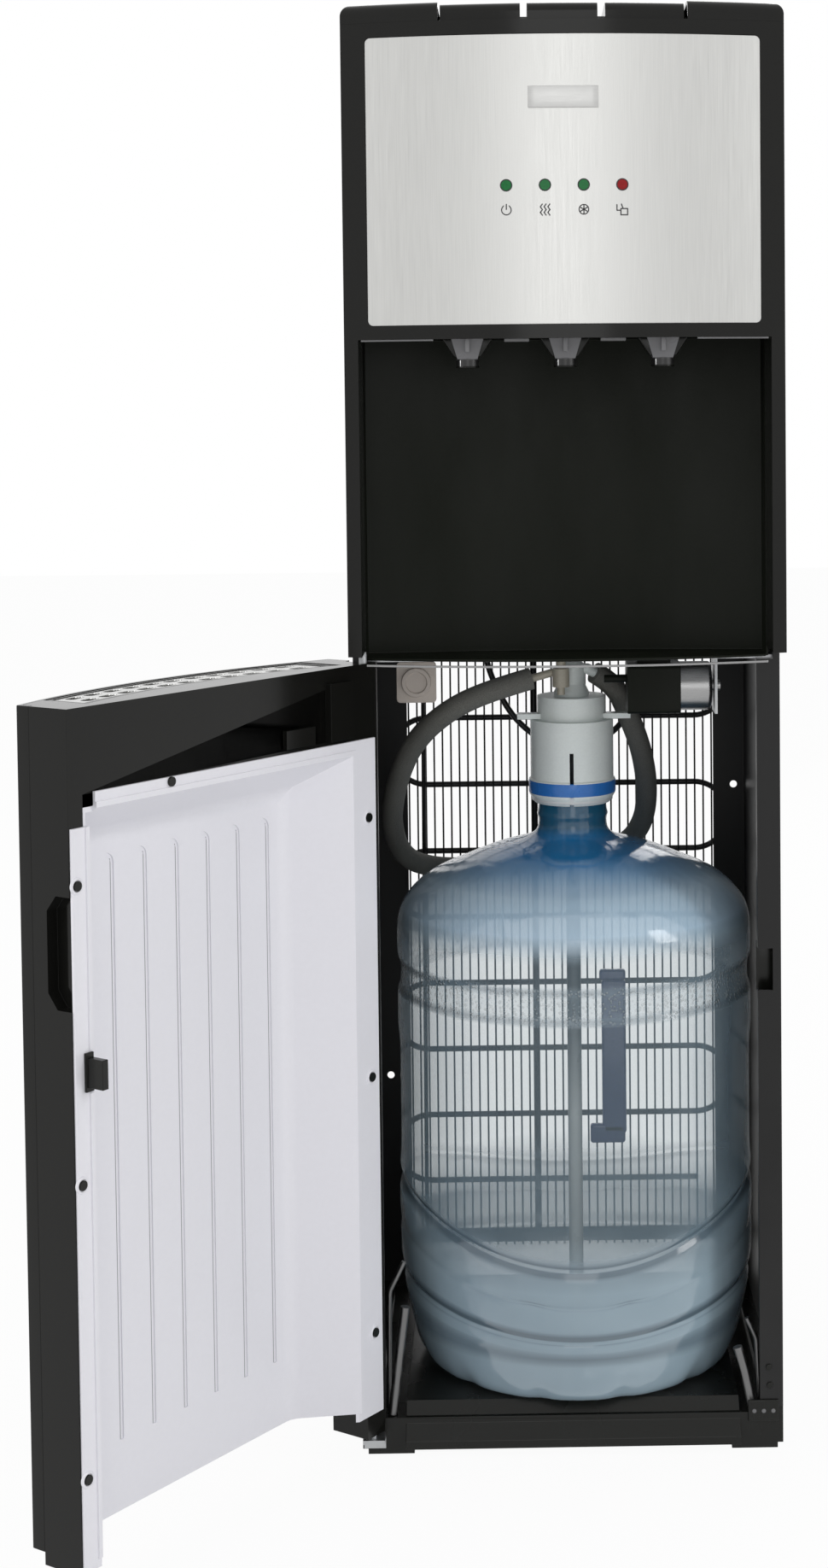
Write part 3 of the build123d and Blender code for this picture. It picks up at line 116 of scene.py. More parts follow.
class Recipe:
    """A node tree while it is put together."""

    def __init__(self, tree: bpy.types.NodeTree) -> None:
        """Starts a material's or a world's tree afresh."""
        self.tree = tree
        self.tree.nodes.clear()

    def node(
        self,
        kind: str,
        settings: dict[str, object] | None = None,
        inputs: dict[str | int, object] | None = None,
        output: str | int = 0,
    ) -> Signal:
        """Makes any node.

        Args:
            kind: The node's type, without its first word.
            settings: The node's own settings, set before its sockets.
            inputs: A value or a Signal for each socket that isn't left alone.
            output: The socket that the result is read from.

        Returns:
            The chosen output.
        """
        made = self.tree.nodes.new("ShaderNode" + kind)
        for key, value in (settings or {}).items():
            setattr(made, key, value)
        for key, value in (inputs or {}).items():
            if isinstance(value, Signal):
                self.tree.links.new(value.socket, made.inputs[key])
            elif made.inputs[key].type == "RGBA" and len(value) == 3:
                made.inputs[key].default_value = (*value, 1.0)
            else:
                made.inputs[key].default_value = value
        return Signal(self, made.outputs[output])

    def place(self, stretch: Point = (1.0, 1.0, 1.0)) -> Signal:
        """Object coordinates, on which a pattern is stretch times finer along each axis."""
        where = self.node("TexCoord", output="Object")
        return self.node("Mapping", None, {"Vector": where, "Scale": stretch})

    def axis(self, name: str) -> Signal:
        """The object coordinate along one axis, X, Y or Z."""
        return self.node("SeparateXYZ", None, {"Vector": self.place()}, name)

    def noise(self, scale: float, detail: float = 2.0, stretch: Point = (1.0, 1.0, 1.0)) -> Signal:
        """Cloudy noise from 0 to 1: scale is its clouds per metre, detail its octaves."""
        values = {"Vector": self.place(stretch), "Scale": scale, "Detail": detail}
        return self.node("TexNoise", None, values, "Fac")

    def cells(self, scale: float, output: str = "Distance") -> Signal:
        """The distance from the nearest of many scattered points, scale of them per metre."""
        return self.node("TexVoronoi", None, {"Vector": self.place(), "Scale": scale}, output)

    def fit(
        self, value: Signal, low: float, high: float, to_low: float = 0.0, to_high: float = 1.0
    ) -> Signal:
        """Carries a value from one range to another, and holds it at their ends."""
        return self.node("MapRange", None, {0: value, 1: low, 2: high, 3: to_low, 4: to_high})

    def spread(self, noise: Signal, to_low: float = 0.0, to_high: float = 1.0) -> Signal:
        """Carries the middle of a noise's range, where most of it lies, to another range."""
        return self.fit(noise, *NOISE_MIDDLE, to_low, to_high)

    def mix(self, share: object, first: object, second: object) -> Signal:
        """Mixes two colours, with a share of the second from 0 to 1."""
        return self.node("Mix", {"data_type": "RGBA"}, {0: share, 6: first, 7: second}, 2)

    def bump(self, height: Signal, depth: float, under: Signal | None = None) -> Signal:
        """Turns heights into a normal.

        Args:
            height: From 0 to 1.
            depth: What 1 stands for, in metres.
            under: The normal of a coarser bump below this one.

        Returns:
            The normal.
        """
        values: dict[str | int, object] = {"Height": height, "Distance": depth, "Strength": 1.0}
        if under is not None:
            values["Normal"] = under
        return self.node("Bump", None, values)

    def principled(self, **sockets: object) -> Signal:
        """A Principled shader with these sockets, with _ for each space in a name."""
        values = {key.replace("_", " "): value for key, value in sockets.items()}
        return self.node("BsdfPrincipled", None, values)

    def show(self, surface: Signal, kind: str = "Material") -> None:
        """Makes a shader the result of the whole tree."""
        output = self.tree.nodes.new("ShaderNodeOutput" + kind)
        self.tree.links.new(surface.socket, output.inputs["Surface"])


def toned(colour: Colour, factor: float) -> Colour:
    """A colour made darker or lighter, at most white."""
    return tuple(min(1.0, c * factor) for c in colour)


class Finish:
    """What every finish shares: it paints itself once, and is then reused."""

    name: str
    _made: dict[str, bpy.types.Material] = {}

    def material(self) -> bpy.types.Material:
        """Paints the finish, the first time that it is asked for.

        Returns:
            The finish's material.
        """
        if self.name not in Finish._made:
            made = bpy.data.materials.new(self.name)
            made.use_nodes = True
            recipe = Recipe(made.node_tree)
            recipe.show(self.shader(recipe))
            Finish._made[self.name] = made
        return Finish._made[self.name]

    def shader(self, recipe: Recipe) -> Signal:
        """The finish's shader in a recipe."""
        raise NotImplementedError

    def dress(self, *names: str) -> None:
        """Gives the finish to CAD nodes.

        Args:
            *names: The nodes.
        """
        for name in names:
            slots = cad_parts[name].data.materials
            slots.clear()
            slots.append(self.material())


@dataclass(frozen=True)
class Moulding(Finish):
    """Moulded plastic: fine grain, faint clouds in its colour, and gloss that wanders."""

    name: str
    colour: Colour
    roughness: float
    grain: float = 2400.0
    grain_depth: float = 0.00003
    clouds: float = 0.15
    wander: float = 0.3
    specular: float = 0.5
    coat: float = 0.0
    subsurface: float = 0.0
    cloud_scale: float = 7.0
    speck_scale: float = 0.4
    speck_share: float = 0.3
    smear_scale: float = 16.0
    smear_run: Point = (1.0, 1.0, 0.35)
    coat_roughness: float = 0.08
    scatter: Point = (0.004, 0.004, 0.004)

    def shader(self, recipe: Recipe) -> Signal:
        """Mixes the plastic's shader.

        Args:
            recipe: The node tree.

        Returns:
            The shader.
        """
        dark, light = 1.0 - self.clouds, 1.0 + self.clouds
        cloud = recipe.spread(recipe.noise(self.cloud_scale, 4.0), dark, light)
        speck = recipe.fit(recipe.noise(self.grain * self.speck_scale), 0.35, 0.65)
        blend = recipe.fit(cloud + speck * self.speck_share - 1.0, -0.3, 0.6)
        colour = recipe.mix(blend, toned(self.colour, dark), toned(self.colour, light))
        smear = recipe.noise(self.smear_scale, 5.0, self.smear_run)
        low, high = self.roughness * (1.0 - self.wander), self.roughness * (1.0 + self.wander)
        return recipe.principled(
            Base_Color=self.tint(recipe, colour),
            Roughness=recipe.spread(smear, low, high),
            Normal=recipe.bump(recipe.noise(self.grain), self.grain_depth),
            Specular_IOR_Level=self.specular,
            Coat_Weight=self.coat,
            Coat_Roughness=self.coat_roughness,
            Subsurface_Weight=self.subsurface,
            Subsurface_Radius=self.scatter,
        )

    def tint(self, recipe: Recipe, colour: Signal) -> Signal:
        """The colour as it is: a plain moulding has nothing on it."""
        return colour


@dataclass(frozen=True)
class LinerPlastic(Moulding):
    """The liner's plastic, with painted shade along one side of each of its beads."""

    hinge: Pair = DOOR_HINGE
    swing: float = DOOR_SWING
    first: float = -0.0715
    pitch: float = 0.031
    count: int = 6
    margin: float = 0.4
    level: Pair = (0.0915, 0.478)
    floor: float = -0.145
    line: Pair = (0.0004, 0.001)
    shade: float = 0.85
    bead_shade_colour: Colour = (0.16, 0.16, 0.18)

    def tint(self, recipe: Recipe, colour: Signal) -> Signal:
        """Paints a thin line of shade beside each bead, in the place that the liner has when the door is
        shut.

        Args:
            recipe: The node tree.
            colour: The plastic's colour.

        Returns:
            The colour with its painted shade lines.
        """
        angle = math.radians(self.swing)
        east, north = recipe.axis("X") - self.hinge[0], recipe.axis("Y") - self.hinge[1]
        along = east * math.cos(angle) - north * math.sin(angle) + self.hinge[0]
        deep = east * math.sin(angle) + north * math.cos(angle) + self.hinge[1]
        steps = (along - self.first) * (1.0 / self.pitch)
        nearest = recipe.node("Math", {"operation": "ROUND"}, {0: steps})
        gap = abs(steps - nearest) * self.pitch
        height = recipe.axis("Z")
        inside = (steps > -self.margin) * (steps < self.count - 1 + self.margin) * (deep < self.floor)
        inside = inside * (height > self.level[0]) * (height < self.level[1])
        # Painted shade: a thin darker line beside each bead of the liner.
        return recipe.mix(recipe.fit(gap, *self.line, self.shade, 0.0) * inside, colour, self.bead_shade_colour)


@dataclass(frozen=True)
class BrushedSteel(Finish):
    """Stainless sheet with fine lines along one axis."""

    name: str
    colour: Colour
    roughness: float
    lines: Point = (1.0, 1.0, 0.02)
    depth: float = 0.000006
    fine: float = 2600.0
    broad: float = 420.0
    broad_share: float = 0.15
    tones: Pair = (0.94, 1.05)

    def shader(self, recipe: Recipe) -> Signal:
        """Mixes the steel's shader.

        Args:
            recipe: The node tree.

        Returns:
            The shader.
        """
        fine, broad = recipe.noise(self.fine, 2.0, self.lines), recipe.noise(self.broad, 3.0, self.lines)
        streak = fine * (1.0 - self.broad_share) + broad * self.broad_share
        dull, bright = (toned(self.colour, tone) for tone in self.tones)
        return recipe.principled(
            Base_Color=recipe.mix(recipe.spread(streak), dull, bright),
            Roughness=recipe.spread(streak, self.roughness * 0.8, self.roughness * 1.2),
            Normal=recipe.bump(streak, self.depth),
            Metallic=1.0,
        )


@dataclass(frozen=True)
class ZincSheet(Finish):
    """Galvanised steel with its spangle."""

    name: str
    colour: Colour
    roughness: float = 0.42
    spangle: float = 130.0
    wear: float = 30.0
    wear_share: float = 0.4
    dull: float = 0.8
    relief: float = 0.00001

    def shader(self, recipe: Recipe) -> Signal:
        """Mixes the zinc's shader.

        Args:
            recipe: The node tree.

        Returns:
            The shader.
        """
        grey = recipe.node("SeparateXYZ", None, {"Vector": recipe.cells(self.spangle, "Color")}, "X")
        worn = recipe.noise(self.wear, 4.0)
        share = grey * (1.0 - self.wear_share) + worn * self.wear_share
        return recipe.principled(
            Base_Color=recipe.mix(share, toned(self.colour, self.dull), self.colour),
            Roughness=recipe.fit(grey + worn, 0.4, 1.6, self.roughness - 0.12, self.roughness + 0.1),
            Normal=recipe.bump(grey, self.relief),
            Metallic=1.0,
        )


@dataclass(frozen=True)
class PowderCoat(Finish):
    """Black paint on sheet steel, with its orange peel and a little dust low down."""

    name: str
    colour: Colour
    roughness: float
    peel: float = 900.0
    depth: float = 0.000015
    dust: float = 0.5
    dust_z: Pair = (0.02, 0.45)
    dust_scale: float = 11.0
    dust_colour: float = 0.02
    specular: float = 0.3

    def shader(self, recipe: Recipe) -> Signal:
        """Mixes the paint's shader.

        Args:
            recipe: The node tree.

        Returns:
            The shader.
        """
        low_down = recipe.fit(recipe.axis("Z"), *self.dust_z, self.dust, 0.0)
        cloud = recipe.fit(recipe.noise(self.dust_scale, 5.0), 0.4, 0.75)
        pale = tuple(c + self.dust_colour for c in self.colour)
        return recipe.principled(
            Base_Color=recipe.mix(low_down * cloud, self.colour, pale),
            Roughness=recipe.fit(cloud, 0.0, 1.0, self.roughness * 0.96, self.roughness * 1.08),
            Normal=recipe.bump(recipe.noise(self.peel), self.depth),
            Specular_IOR_Level=self.specular,
        )


@dataclass(frozen=True)
class CellFoam(Finish):
    """Foam with its cells, as on the hose and round the cold tank."""

    name: str
    colour: Colour
    cell: float = 900.0
    depth: float = 0.0004
    pit: Pair = (0.1, 0.6)
    cloud_scale: float = 40.0
    tones: Pair = (0.6, 1.25)
    roughness: Pair = (0.8, 0.95)
    specular: float = 0.25

    def shader(self, recipe: Recipe) -> Signal:
        """Mixes the foam's shader.

        Args:
            recipe: The node tree.

        Returns:
            The shader.
        """
        pit = recipe.fit(recipe.cells(self.cell), *self.pit)
        cloud = recipe.noise(self.cloud_scale, 4.0)
        dark, pale = (toned(self.colour, tone) for tone in self.tones)
        return recipe.principled(
            Base_Color=recipe.mix(pit * 0.5 + cloud * 0.5, dark, pale),
            Roughness=recipe.spread(cloud, *self.roughness),
            Normal=recipe.bump(pit, self.depth),
            Specular_IOR_Level=self.specular,
        )


@dataclass(frozen=True)
class BottlePlastic(Finish):
    """Thin blue polycarbonate: milky face on, deeper in colour edge on and at the neck, with painted shade
    along its ribs.
    """

    name: str
    film: Colour
    body: Colour
    shoulder: Colour
    collar: Colour
    neck: Colour
    rib_shade: Colour
    drop: Colour = (0.6, 0.66, 0.68)
    base: Pair = (0.125, 0.165)
    shoulder_at: Pair = (0.366, 0.386)
    collar_at: Pair = (0.408, 0.43)
    neck_at: Pair = (0.44, 0.447)
    frost: Pair = (0.326, 0.346)
    face_share: float = 0.21
    edge_share: float = 0.85
    roughness: float = 0.1
    ripple: float = 14.0
    ripple_depth: float = 0.003
    drops: float = 380.0
    drop_depth: float = 0.0012
    frost_fade: float = 0.006
    rib_z: Pair = (0.066, 0.075)
    rib_y: Pair = (-0.03, 0.03)
    rib_slope: Pair = (0.12, 0.35)
    rear_rib: float = 0.2
    foot_share: float = 0.55
    top_share: float = 0.65
    rib_share: float = 0.45
    frost_share: float = 0.12
    wet_share: float = 0.25
    most: float = 0.94

    def shader(self, recipe: Recipe) -> Signal:
        """Mixes the bottle's shader: a clear film, and blue plastic where it is thick, wet or ribbed, with
        the ribs' sloped faces painted dark as shade.

        Args:
            recipe: The node tree.

        Returns:
            The shader.
        """
        facing = recipe.node("LayerWeight", None, {"Blend": 0.35}, "Facing")
        height = recipe.axis("Z")
        ripple = recipe.noise(self.ripple, 3.0, (1.0, 1.0, 0.5))
        middle, half = sum(self.frost) / 2, (self.frost[1] - self.frost[0]) / 2
        band = recipe.fit(abs(height - middle), half, half + self.frost_fade, 1.0, 0.0)
        wet = recipe.fit(recipe.cells(self.drops), 0.15, 0.5, 1.0, 0.0) * band
        facet = recipe.node("TexCoord", output="Normal")
        slope = abs(recipe.node("SeparateXYZ", None, {"Vector": facet}, "Z"))
        on_body = recipe.fit(height, *self.shoulder_at, 1.0, 0.0) * recipe.fit(height, *self.rib_z)
        # Painted shade: the ribs' sloped faces are darkened, more at the front than at the back.
        rib_shade = recipe.fit(slope, *self.rib_slope) * on_body
        rib_shade = rib_shade * recipe.fit(recipe.axis("Y"), *self.rib_y, 1.0, self.rear_rib)
        colour = self.body
        zones = ((self.shoulder_at, self.shoulder), (self.collar_at, self.collar), (self.neck_at, self.neck))
        for level, above in zones:
            colour = recipe.mix(recipe.fit(height, *level), colour, above)
        colour = recipe.mix(rib_shade * 0.7, colour, self.rib_shade)
        film = recipe.node("BsdfTransparent", None, {"Color": self.film})
        solid = recipe.principled(
            Base_Color=recipe.mix(wet * 0.6, colour, self.drop),
            Roughness=recipe.spread(ripple, self.roughness * 0.6, self.roughness * 1.6),
            Normal=recipe.bump(wet, self.drop_depth, recipe.bump(ripple, self.ripple_depth)),
            Specular_IOR_Level=0.6,
            Coat_Weight=0.3,
        )
        share = recipe.fit(facing, 0.1, 0.9, self.face_share, self.edge_share)
        share = share + recipe.fit(height, *self.base, self.foot_share, 0.0)
        share = share + recipe.fit(height, *self.shoulder_at, 0.0, self.top_share)
        share = share + rib_shade * self.rib_share + band * self.frost_share + wet * self.wet_share
        share = recipe.fit(share, 0.0, self.most, 0.0, self.most)
        return recipe.node("MixShader", None, {0: share, 1: film, 2: solid})


@dataclass(frozen=True)
class TwoTone(Finish):
    """Moulded plastic in one colour below a height and another above it, as the probe turns darker; on the
    taps the grey above is a painted reflection.
    """

    name: str
    below: Colour
    above: Colour
    border: Pair
    roughness: float = 0.32
    cloud_scale: float = 60.0
    cloud_share: float = 0.4
    dark: float = 0.8
    grain: float = 1500.0
    grain_depth: float = 0.00003

    def shader(self, recipe: Recipe) -> Signal:
        """Mixes the plastic's shader.

        Args:
            recipe: The node tree.

        Returns:
            The shader.
        """
        cloud = recipe.noise(self.cloud_scale, 4.0)
        low, high = (recipe.mix(cloud * self.cloud_share, colour, toned(colour, self.dark))
                     for colour in (self.below, self.above))
        return recipe.principled(
            Base_Color=recipe.mix(recipe.fit(recipe.axis("Z"), *self.border), low, high),
            Roughness=recipe.spread(cloud, self.roughness * 0.8, self.roughness * 1.2),
            Normal=recipe.bump(recipe.noise(self.grain), self.grain_depth),
        )


@dataclass(frozen=True)
class Ink(Finish):
    """Printed marks, a little uneven in their coverage."""

    name: str
    colour: Colour
    grain: float = 2500.0
    relief: float = 0.00001
    fading: float = 0.03
    roughness: Pair = (0.45, 0.6)

    def shader(self, recipe: Recipe) -> Signal:
        """Mixes the ink's shader.

        Args:
            recipe: The node tree.

        Returns:
            The shader.
        """
        cover = recipe.spread(recipe.noise(self.grain, 3.0))
        pale = tuple(c + self.fading for c in self.colour)
        return recipe.principled(
            Base_Color=recipe.mix(cover, self.colour, pale),
            Roughness=recipe.fit(cover, 0.0, 1.0, *self.roughness),
            Normal=recipe.bump(cover, self.relief),
        )


@dataclass(frozen=True)
class LampLens(Finish):
    """The four lamps in one node: the last one is red."""

    name: str
    green: Colour
    red: Colour
    border: float
    grain: float = 900.0
    least: float = 0.6
    dark: float = 0.4
    roughness: Pair = (0.1, 0.25)
    emission: float = 0.04
    specular: float = 0.2

    def shader(self, recipe: Recipe) -> Signal:
        """Mixes the lenses' shader.

        Args:
            recipe: The node tree.

        Returns:
            The shader.
        """
        glow = recipe.spread(recipe.noise(self.grain), self.least, 1.0)
        green, red = (recipe.mix(glow, toned(colour, self.dark), colour) for colour in (self.green, self.red))
        colour = recipe.mix(recipe.axis("X") > self.border, green, red)
        return recipe.principled(
            Base_Color=colour,
            Roughness=recipe.fit(glow, self.least, 1.0, *self.roughness),
            Emission_Color=colour,
            Emission_Strength=self.emission,
            Specular_IOR_Level=self.specular,
        )


class Kit:
    """The cooler's finishes."""

    gloss_black = Moulding("gloss_black", (0.008, 0.008, 0.007), 0.12, 1500.0, 0.00001, specular=0.22)
    black = Moulding("black_moulding", (0.008, 0.0085, 0.007), 0.26, 2600.0, 0.00002, specular=0.26)
    alcove = Moulding("alcove_black", (0.006, 0.0075, 0.0045), 0.42, 1900.0, 0.00004, specular=0.12)
    sheet = PowderCoat("black_sheet", (0.009, 0.009, 0.009), 0.38)
    wire = PowderCoat("condenser_black", (0.008, 0.008, 0.008), 0.35, 1500.0, 0.00003, 0.3)
    pot = PowderCoat("compressor_black", (0.01, 0.01, 0.01), 0.3, 600.0, 0.00008, 0.2)
    stainless = BrushedSteel("stainless", (0.57, 0.57, 0.555), 0.38, (1.0, 1.0, 0.012), 0.000002)
    grille = BrushedSteel("grille_steel", (0.6, 0.6, 0.59), 0.22, (1.0, 1.0, 1.0), 0.00001)
    zinc = ZincSheet("galvanised", (0.5, 0.51, 0.52))
    tank = BrushedSteel("tank_steel", (0.6, 0.6, 0.6), 0.3, (0.02, 0.02, 1.0))
    foam = CellFoam("foam", (0.8, 0.76, 0.62), 600.0, 0.0008)
    rod = ZincSheet("guide_rod", (0.2, 0.2, 0.2))
    hose = CellFoam("hose_foam", (0.17, 0.17, 0.155), 1500.0, 0.0002)
    # The liner's colour carries painted shade lines beside its beads.
    liner = LinerPlastic("liner_grey", (0.88, 0.875, 0.925), 0.3, 700.0, 0.00004, 0.015, 0.06, coat=0.1)
    can = BrushedSteel("pump_can", (0.36, 0.36, 0.36), 0.3, (0.02, 0.02, 1.0))
    hanger = Moulding("hanger_grey", (0.54, 0.48, 0.43), 0.34, 1500.0, 0.00003, 0.05)
    cap = Moulding("cap_white", (0.88, 0.94, 0.92), 0.34, 1500.0, 0.00003, 0.05, subsurface=0.1)
    stem = Moulding("stem_white", (0.75, 0.75, 0.74), 0.35, 1500.0, 0.00003, 0.05)
    beige = Moulding("fitting_beige", (0.4, 0.37, 0.3), 0.35, 1500.0, 0.00003, 0.1)
    silicone = Moulding("silicone", (0.7, 0.7, 0.67), 0.5, 900.0, 0.00005, 0.06, subsurface=0.2)
    rubber = Moulding("lead_rubber", (0.014, 0.014, 0.014), 0.45, 2000.0, 0.00004, 0.2)
    lens = LampLens("lamp_lens", (0.01, 0.16, 0.04), (0.3, 0.01, 0.012), 0.026)
    bottle = BottlePlastic("bottle_blue", (0.97, 0.985, 0.985), (0.38, 0.5, 0.58), (0.46, 0.63, 0.78),
                           (0.02, 0.21, 0.5), (0.02, 0.13, 0.24), (0.04, 0.07, 0.1))
    strap = Moulding("strap_blue", (0.06, 0.085, 0.24), 0.2, 900.0, 0.00004, 0.2, coat=0.3)
    band = Moulding("band_blue", (0.035, 0.2, 0.62), 0.3, 1200.0, 0.00003, 0.08)
    skirt = Moulding("skirt_white", (0.78, 0.8, 0.8), 0.34, 1500.0, 0.00003, 0.04, subsurface=0.1)
    pad = Moulding("pad_grey", (0.09, 0.09, 0.092), 0.4, 1800.0, 0.00004, 0.12)
    trim = Moulding("trim_grey", (0.16, 0.16, 0.165), 0.25, 1800.0, 0.00002, 0.1)
    ink = Ink("lamp_ink", (0.02, 0.02, 0.022))
    badge = BrushedSteel("badge_plate", (0.52, 0.52, 0.51), 0.38, (0.02, 1.0, 1.0))
    # Used only for the nozzles' painted glints.
    painted_glint_chrome = BrushedSteel("painted_glint_chrome", (0.7, 0.7, 0.7), 0.12, (1.0, 1.0, 0.1), 0.000003)
    probe = TwoTone("probe_plastic", (0.6, 0.63, 0.62), (0.07, 0.09, 0.1), (0.22, 0.3))
    # The taps are black; their grey above the nozzle is a painted reflection of light on their glossy facets.
    nozzle = TwoTone("tap_black_and_painted_reflection", (0.012, 0.012, 0.012), (0.15, 0.15, 0.157), (0.8025, 0.8035))
    # A pale grey finish that stands for a highlight: it is a painted highlight on the ledge's edge.
    painted_highlight = Moulding("painted_edge_highlight", (0.3, 0.3, 0.3), 0.2, 1800.0, 0.00002, 0.1, coat=0.4)


FINISHES: dict[str, tuple[str, ...]] = {
    "black": ("switch_bezel", "heating_switch", "cooling_switch", "liner_screws", "mains_gland",
              "drain_plug"),
    "sheet": ("left_side_panel", "right_side_panel", "back_panel"),
    "wire": ("condenser_wires", "condenser_coil", "refrigerant_lines"),
    "pot": ("compressor",),
    "stainless": ("door_skin",),
    "zinc": ("equipment_shelf", "tank_shelf", "pump_bracket", "hinge_brackets", "key_shaft", "shelf_bolts",
             "band_heater"),
    "rod": ("bottle_guides",),
    "tank": ("cold_tank", "hot_tank"),
    "can": ("pump_motor",),
    "foam": ("cold_tank_jacket",),
    "cap": ("cap_elbow", "child_lock", "probe_foot"),
    "probe": ("probe_tube",),
    "stem": ("hot_stem", "room_stem", "cold_stem"),
    "beige": ("hose_fitting",),
    "silicone": ("water_lines",),
    "lens": ("indicator_lenses",),
}


# ---------------------------------------------------------------- studio


@dataclass(frozen=True)
class Lamp:
    """A soft box that looks at the object."""

    name: str
    place: Point
    size: Pair
    power: float
    aim: Point = (0.0, 0.0, 0.6)

    def build(self) -> None:
        """Hangs the soft box."""
        data = bpy.data.lights.new(self.name, "AREA")
        data.shape = "RECTANGLE"
        data.size, data.size_y = self.size
        data.energy = self.power
        lamp = bpy.data.objects.new(self.name, data)
        bpy.context.scene.collection.objects.link(lamp)
        lamp.location = self.place
        lamp.rotation_euler = (Vector(self.aim) - Vector(self.place)).to_track_quat("-Z", "Y").to_euler()


@dataclass
class Studio:
    """Camera, lamps, white surroundings and floor."""

    camera_at: Point = (-0.0386486, -1.9074346, 0.7792096)
    turn: float = 0.0174
    dip: float = 0.0491
    roll: float = -0.0093
    focal: float = 2916.25
    axis: Pair = (650.15, 602.98)
    picture: tuple[int, int] = (970, 1836)
    sensor: float = 36.0
    ambient: float = 0.6
    floor_half: float = 9.0
    floor_colour: float = 0.84
    floor_drift: float = 0.01
    floor_roughness: float = 0.7
    floor_white: float = 0.95
    lamps: Sequence[Lamp] = (
        Lamp("key_box", (-2.7, -1.3, 2.0), (0.8, 1.8), 22.0),
        Lamp("fill_box", (2.7, -1.5, 1.7), (0.7, 1.8), 20.0),
        Lamp("front_box", (0.05, -3.4, 1.35), (1.0, 2.2), 8.0),
        Lamp("rear_box", (0.8, 2.6, 1.7), (1.6, 1.4), 14.0),
    )

    def build(self) -> None:
        """Sets up all of it."""
        self.add_camera()
        self.add_world()
        self.add_floor()
        for lamp in self.lamps:
            lamp.build()
        bpy.context.scene.view_settings.view_transform = "Standard"

    def add_camera(self) -> None:
        """Puts the camera where the photograph was taken from."""
        data = bpy.data.cameras.new("camera")
        wide, tall = self.picture
        data.sensor_width = self.sensor
        data.lens = self.focal / tall * self.sensor
        data.shift_x = (wide / 2 - self.axis[0]) / tall
        data.shift_y = (self.axis[1] - tall / 2) / tall
        ahead = Vector((math.sin(self.turn) * math.cos(self.dip), math.cos(self.turn) * math.cos(self.dip),
                        -math.sin(self.dip)))
        right = Vector((math.cos(self.turn), -math.sin(self.turn), 0.0))
        up = right.cross(ahead)
        tilted = right * math.cos(self.roll) + up * math.sin(self.roll)
        upright = up * math.cos(self.roll) - right * math.sin(self.roll)
        camera = bpy.data.objects.new("camera", data)
        bpy.context.scene.collection.objects.link(camera)
        camera.matrix_world = Matrix.Translation(self.camera_at) @ Matrix(
            (tilted, upright, -ahead)).transposed().to_4x4()
        bpy.context.scene.camera = camera

    @staticmethod
    def seen(recipe: Recipe) -> Signal:
        """Finds the rays that show the background: to the camera, in a reflection or through the bottle.

        Args:
            recipe: The node tree.

        Returns:
            1 for such a ray, else 0.
        """
        camera = recipe.node("LightPath", output="Is Camera Ray")
        glossy = recipe.node("LightPath", output="Is Glossy Ray")
        through = recipe.node("LightPath", output="Is Transmission Ray")
        return camera | glossy | through

    def add_world(self) -> None:
        """White to look at, plain grey as a light."""
        world = bpy.data.worlds.new("studio")
        world.use_nodes = True
        recipe = Recipe(world.node_tree)
        strength = self.seen(recipe) * (1.0 - self.ambient) + self.ambient
        recipe.show(recipe.node("Background", None, {"Color": WHITE, "Strength": strength}), "World")
        bpy.context.scene.world = world

    def add_floor(self) -> None:
        """A pale floor that is nearly white to look at and keeps the object's shadow."""
        bpy.ops.object.select_all(action="DESELECT")
        bpy.ops.mesh.primitive_plane_add(size=2 * self.floor_half)
        floor = bpy.context.object
        floor.name = "studio_floor"
        made = bpy.data.materials.new("studio_floor")
        made.use_nodes = True
        recipe = Recipe(made.node_tree)
        low, high = self.floor_colour - self.floor_drift, self.floor_colour + self.floor_drift
        tint = recipe.spread(recipe.noise(3.0, 3.0), low, high)
        grey = recipe.node("CombineColor", None, {0: tint, 1: tint, 2: tint})
        matt = recipe.principled(Base_Color=grey, Roughness=self.floor_roughness)
        glow = recipe.node("Emission", None, {"Color": WHITE, "Strength": 1.0})
        share = self.seen(recipe) * self.floor_white
        recipe.show(recipe.node("MixShader", None, {0: share, 1: matt, 2: glow}))
        floor.data.materials.append(made)


# ---------------------------------------------------------------- modelling


class Body(Enum):
    """The bodies that new pieces ride on."""

    CABINET = "cabinet"
    DOOR = "door"
    HOT_KEY = "hot_key"
    ROOM_KEY = "room_key"
    COLD_KEY = "cold_key"
    TRAY = "drip_tray"
    GRILLE = "drip_grille"


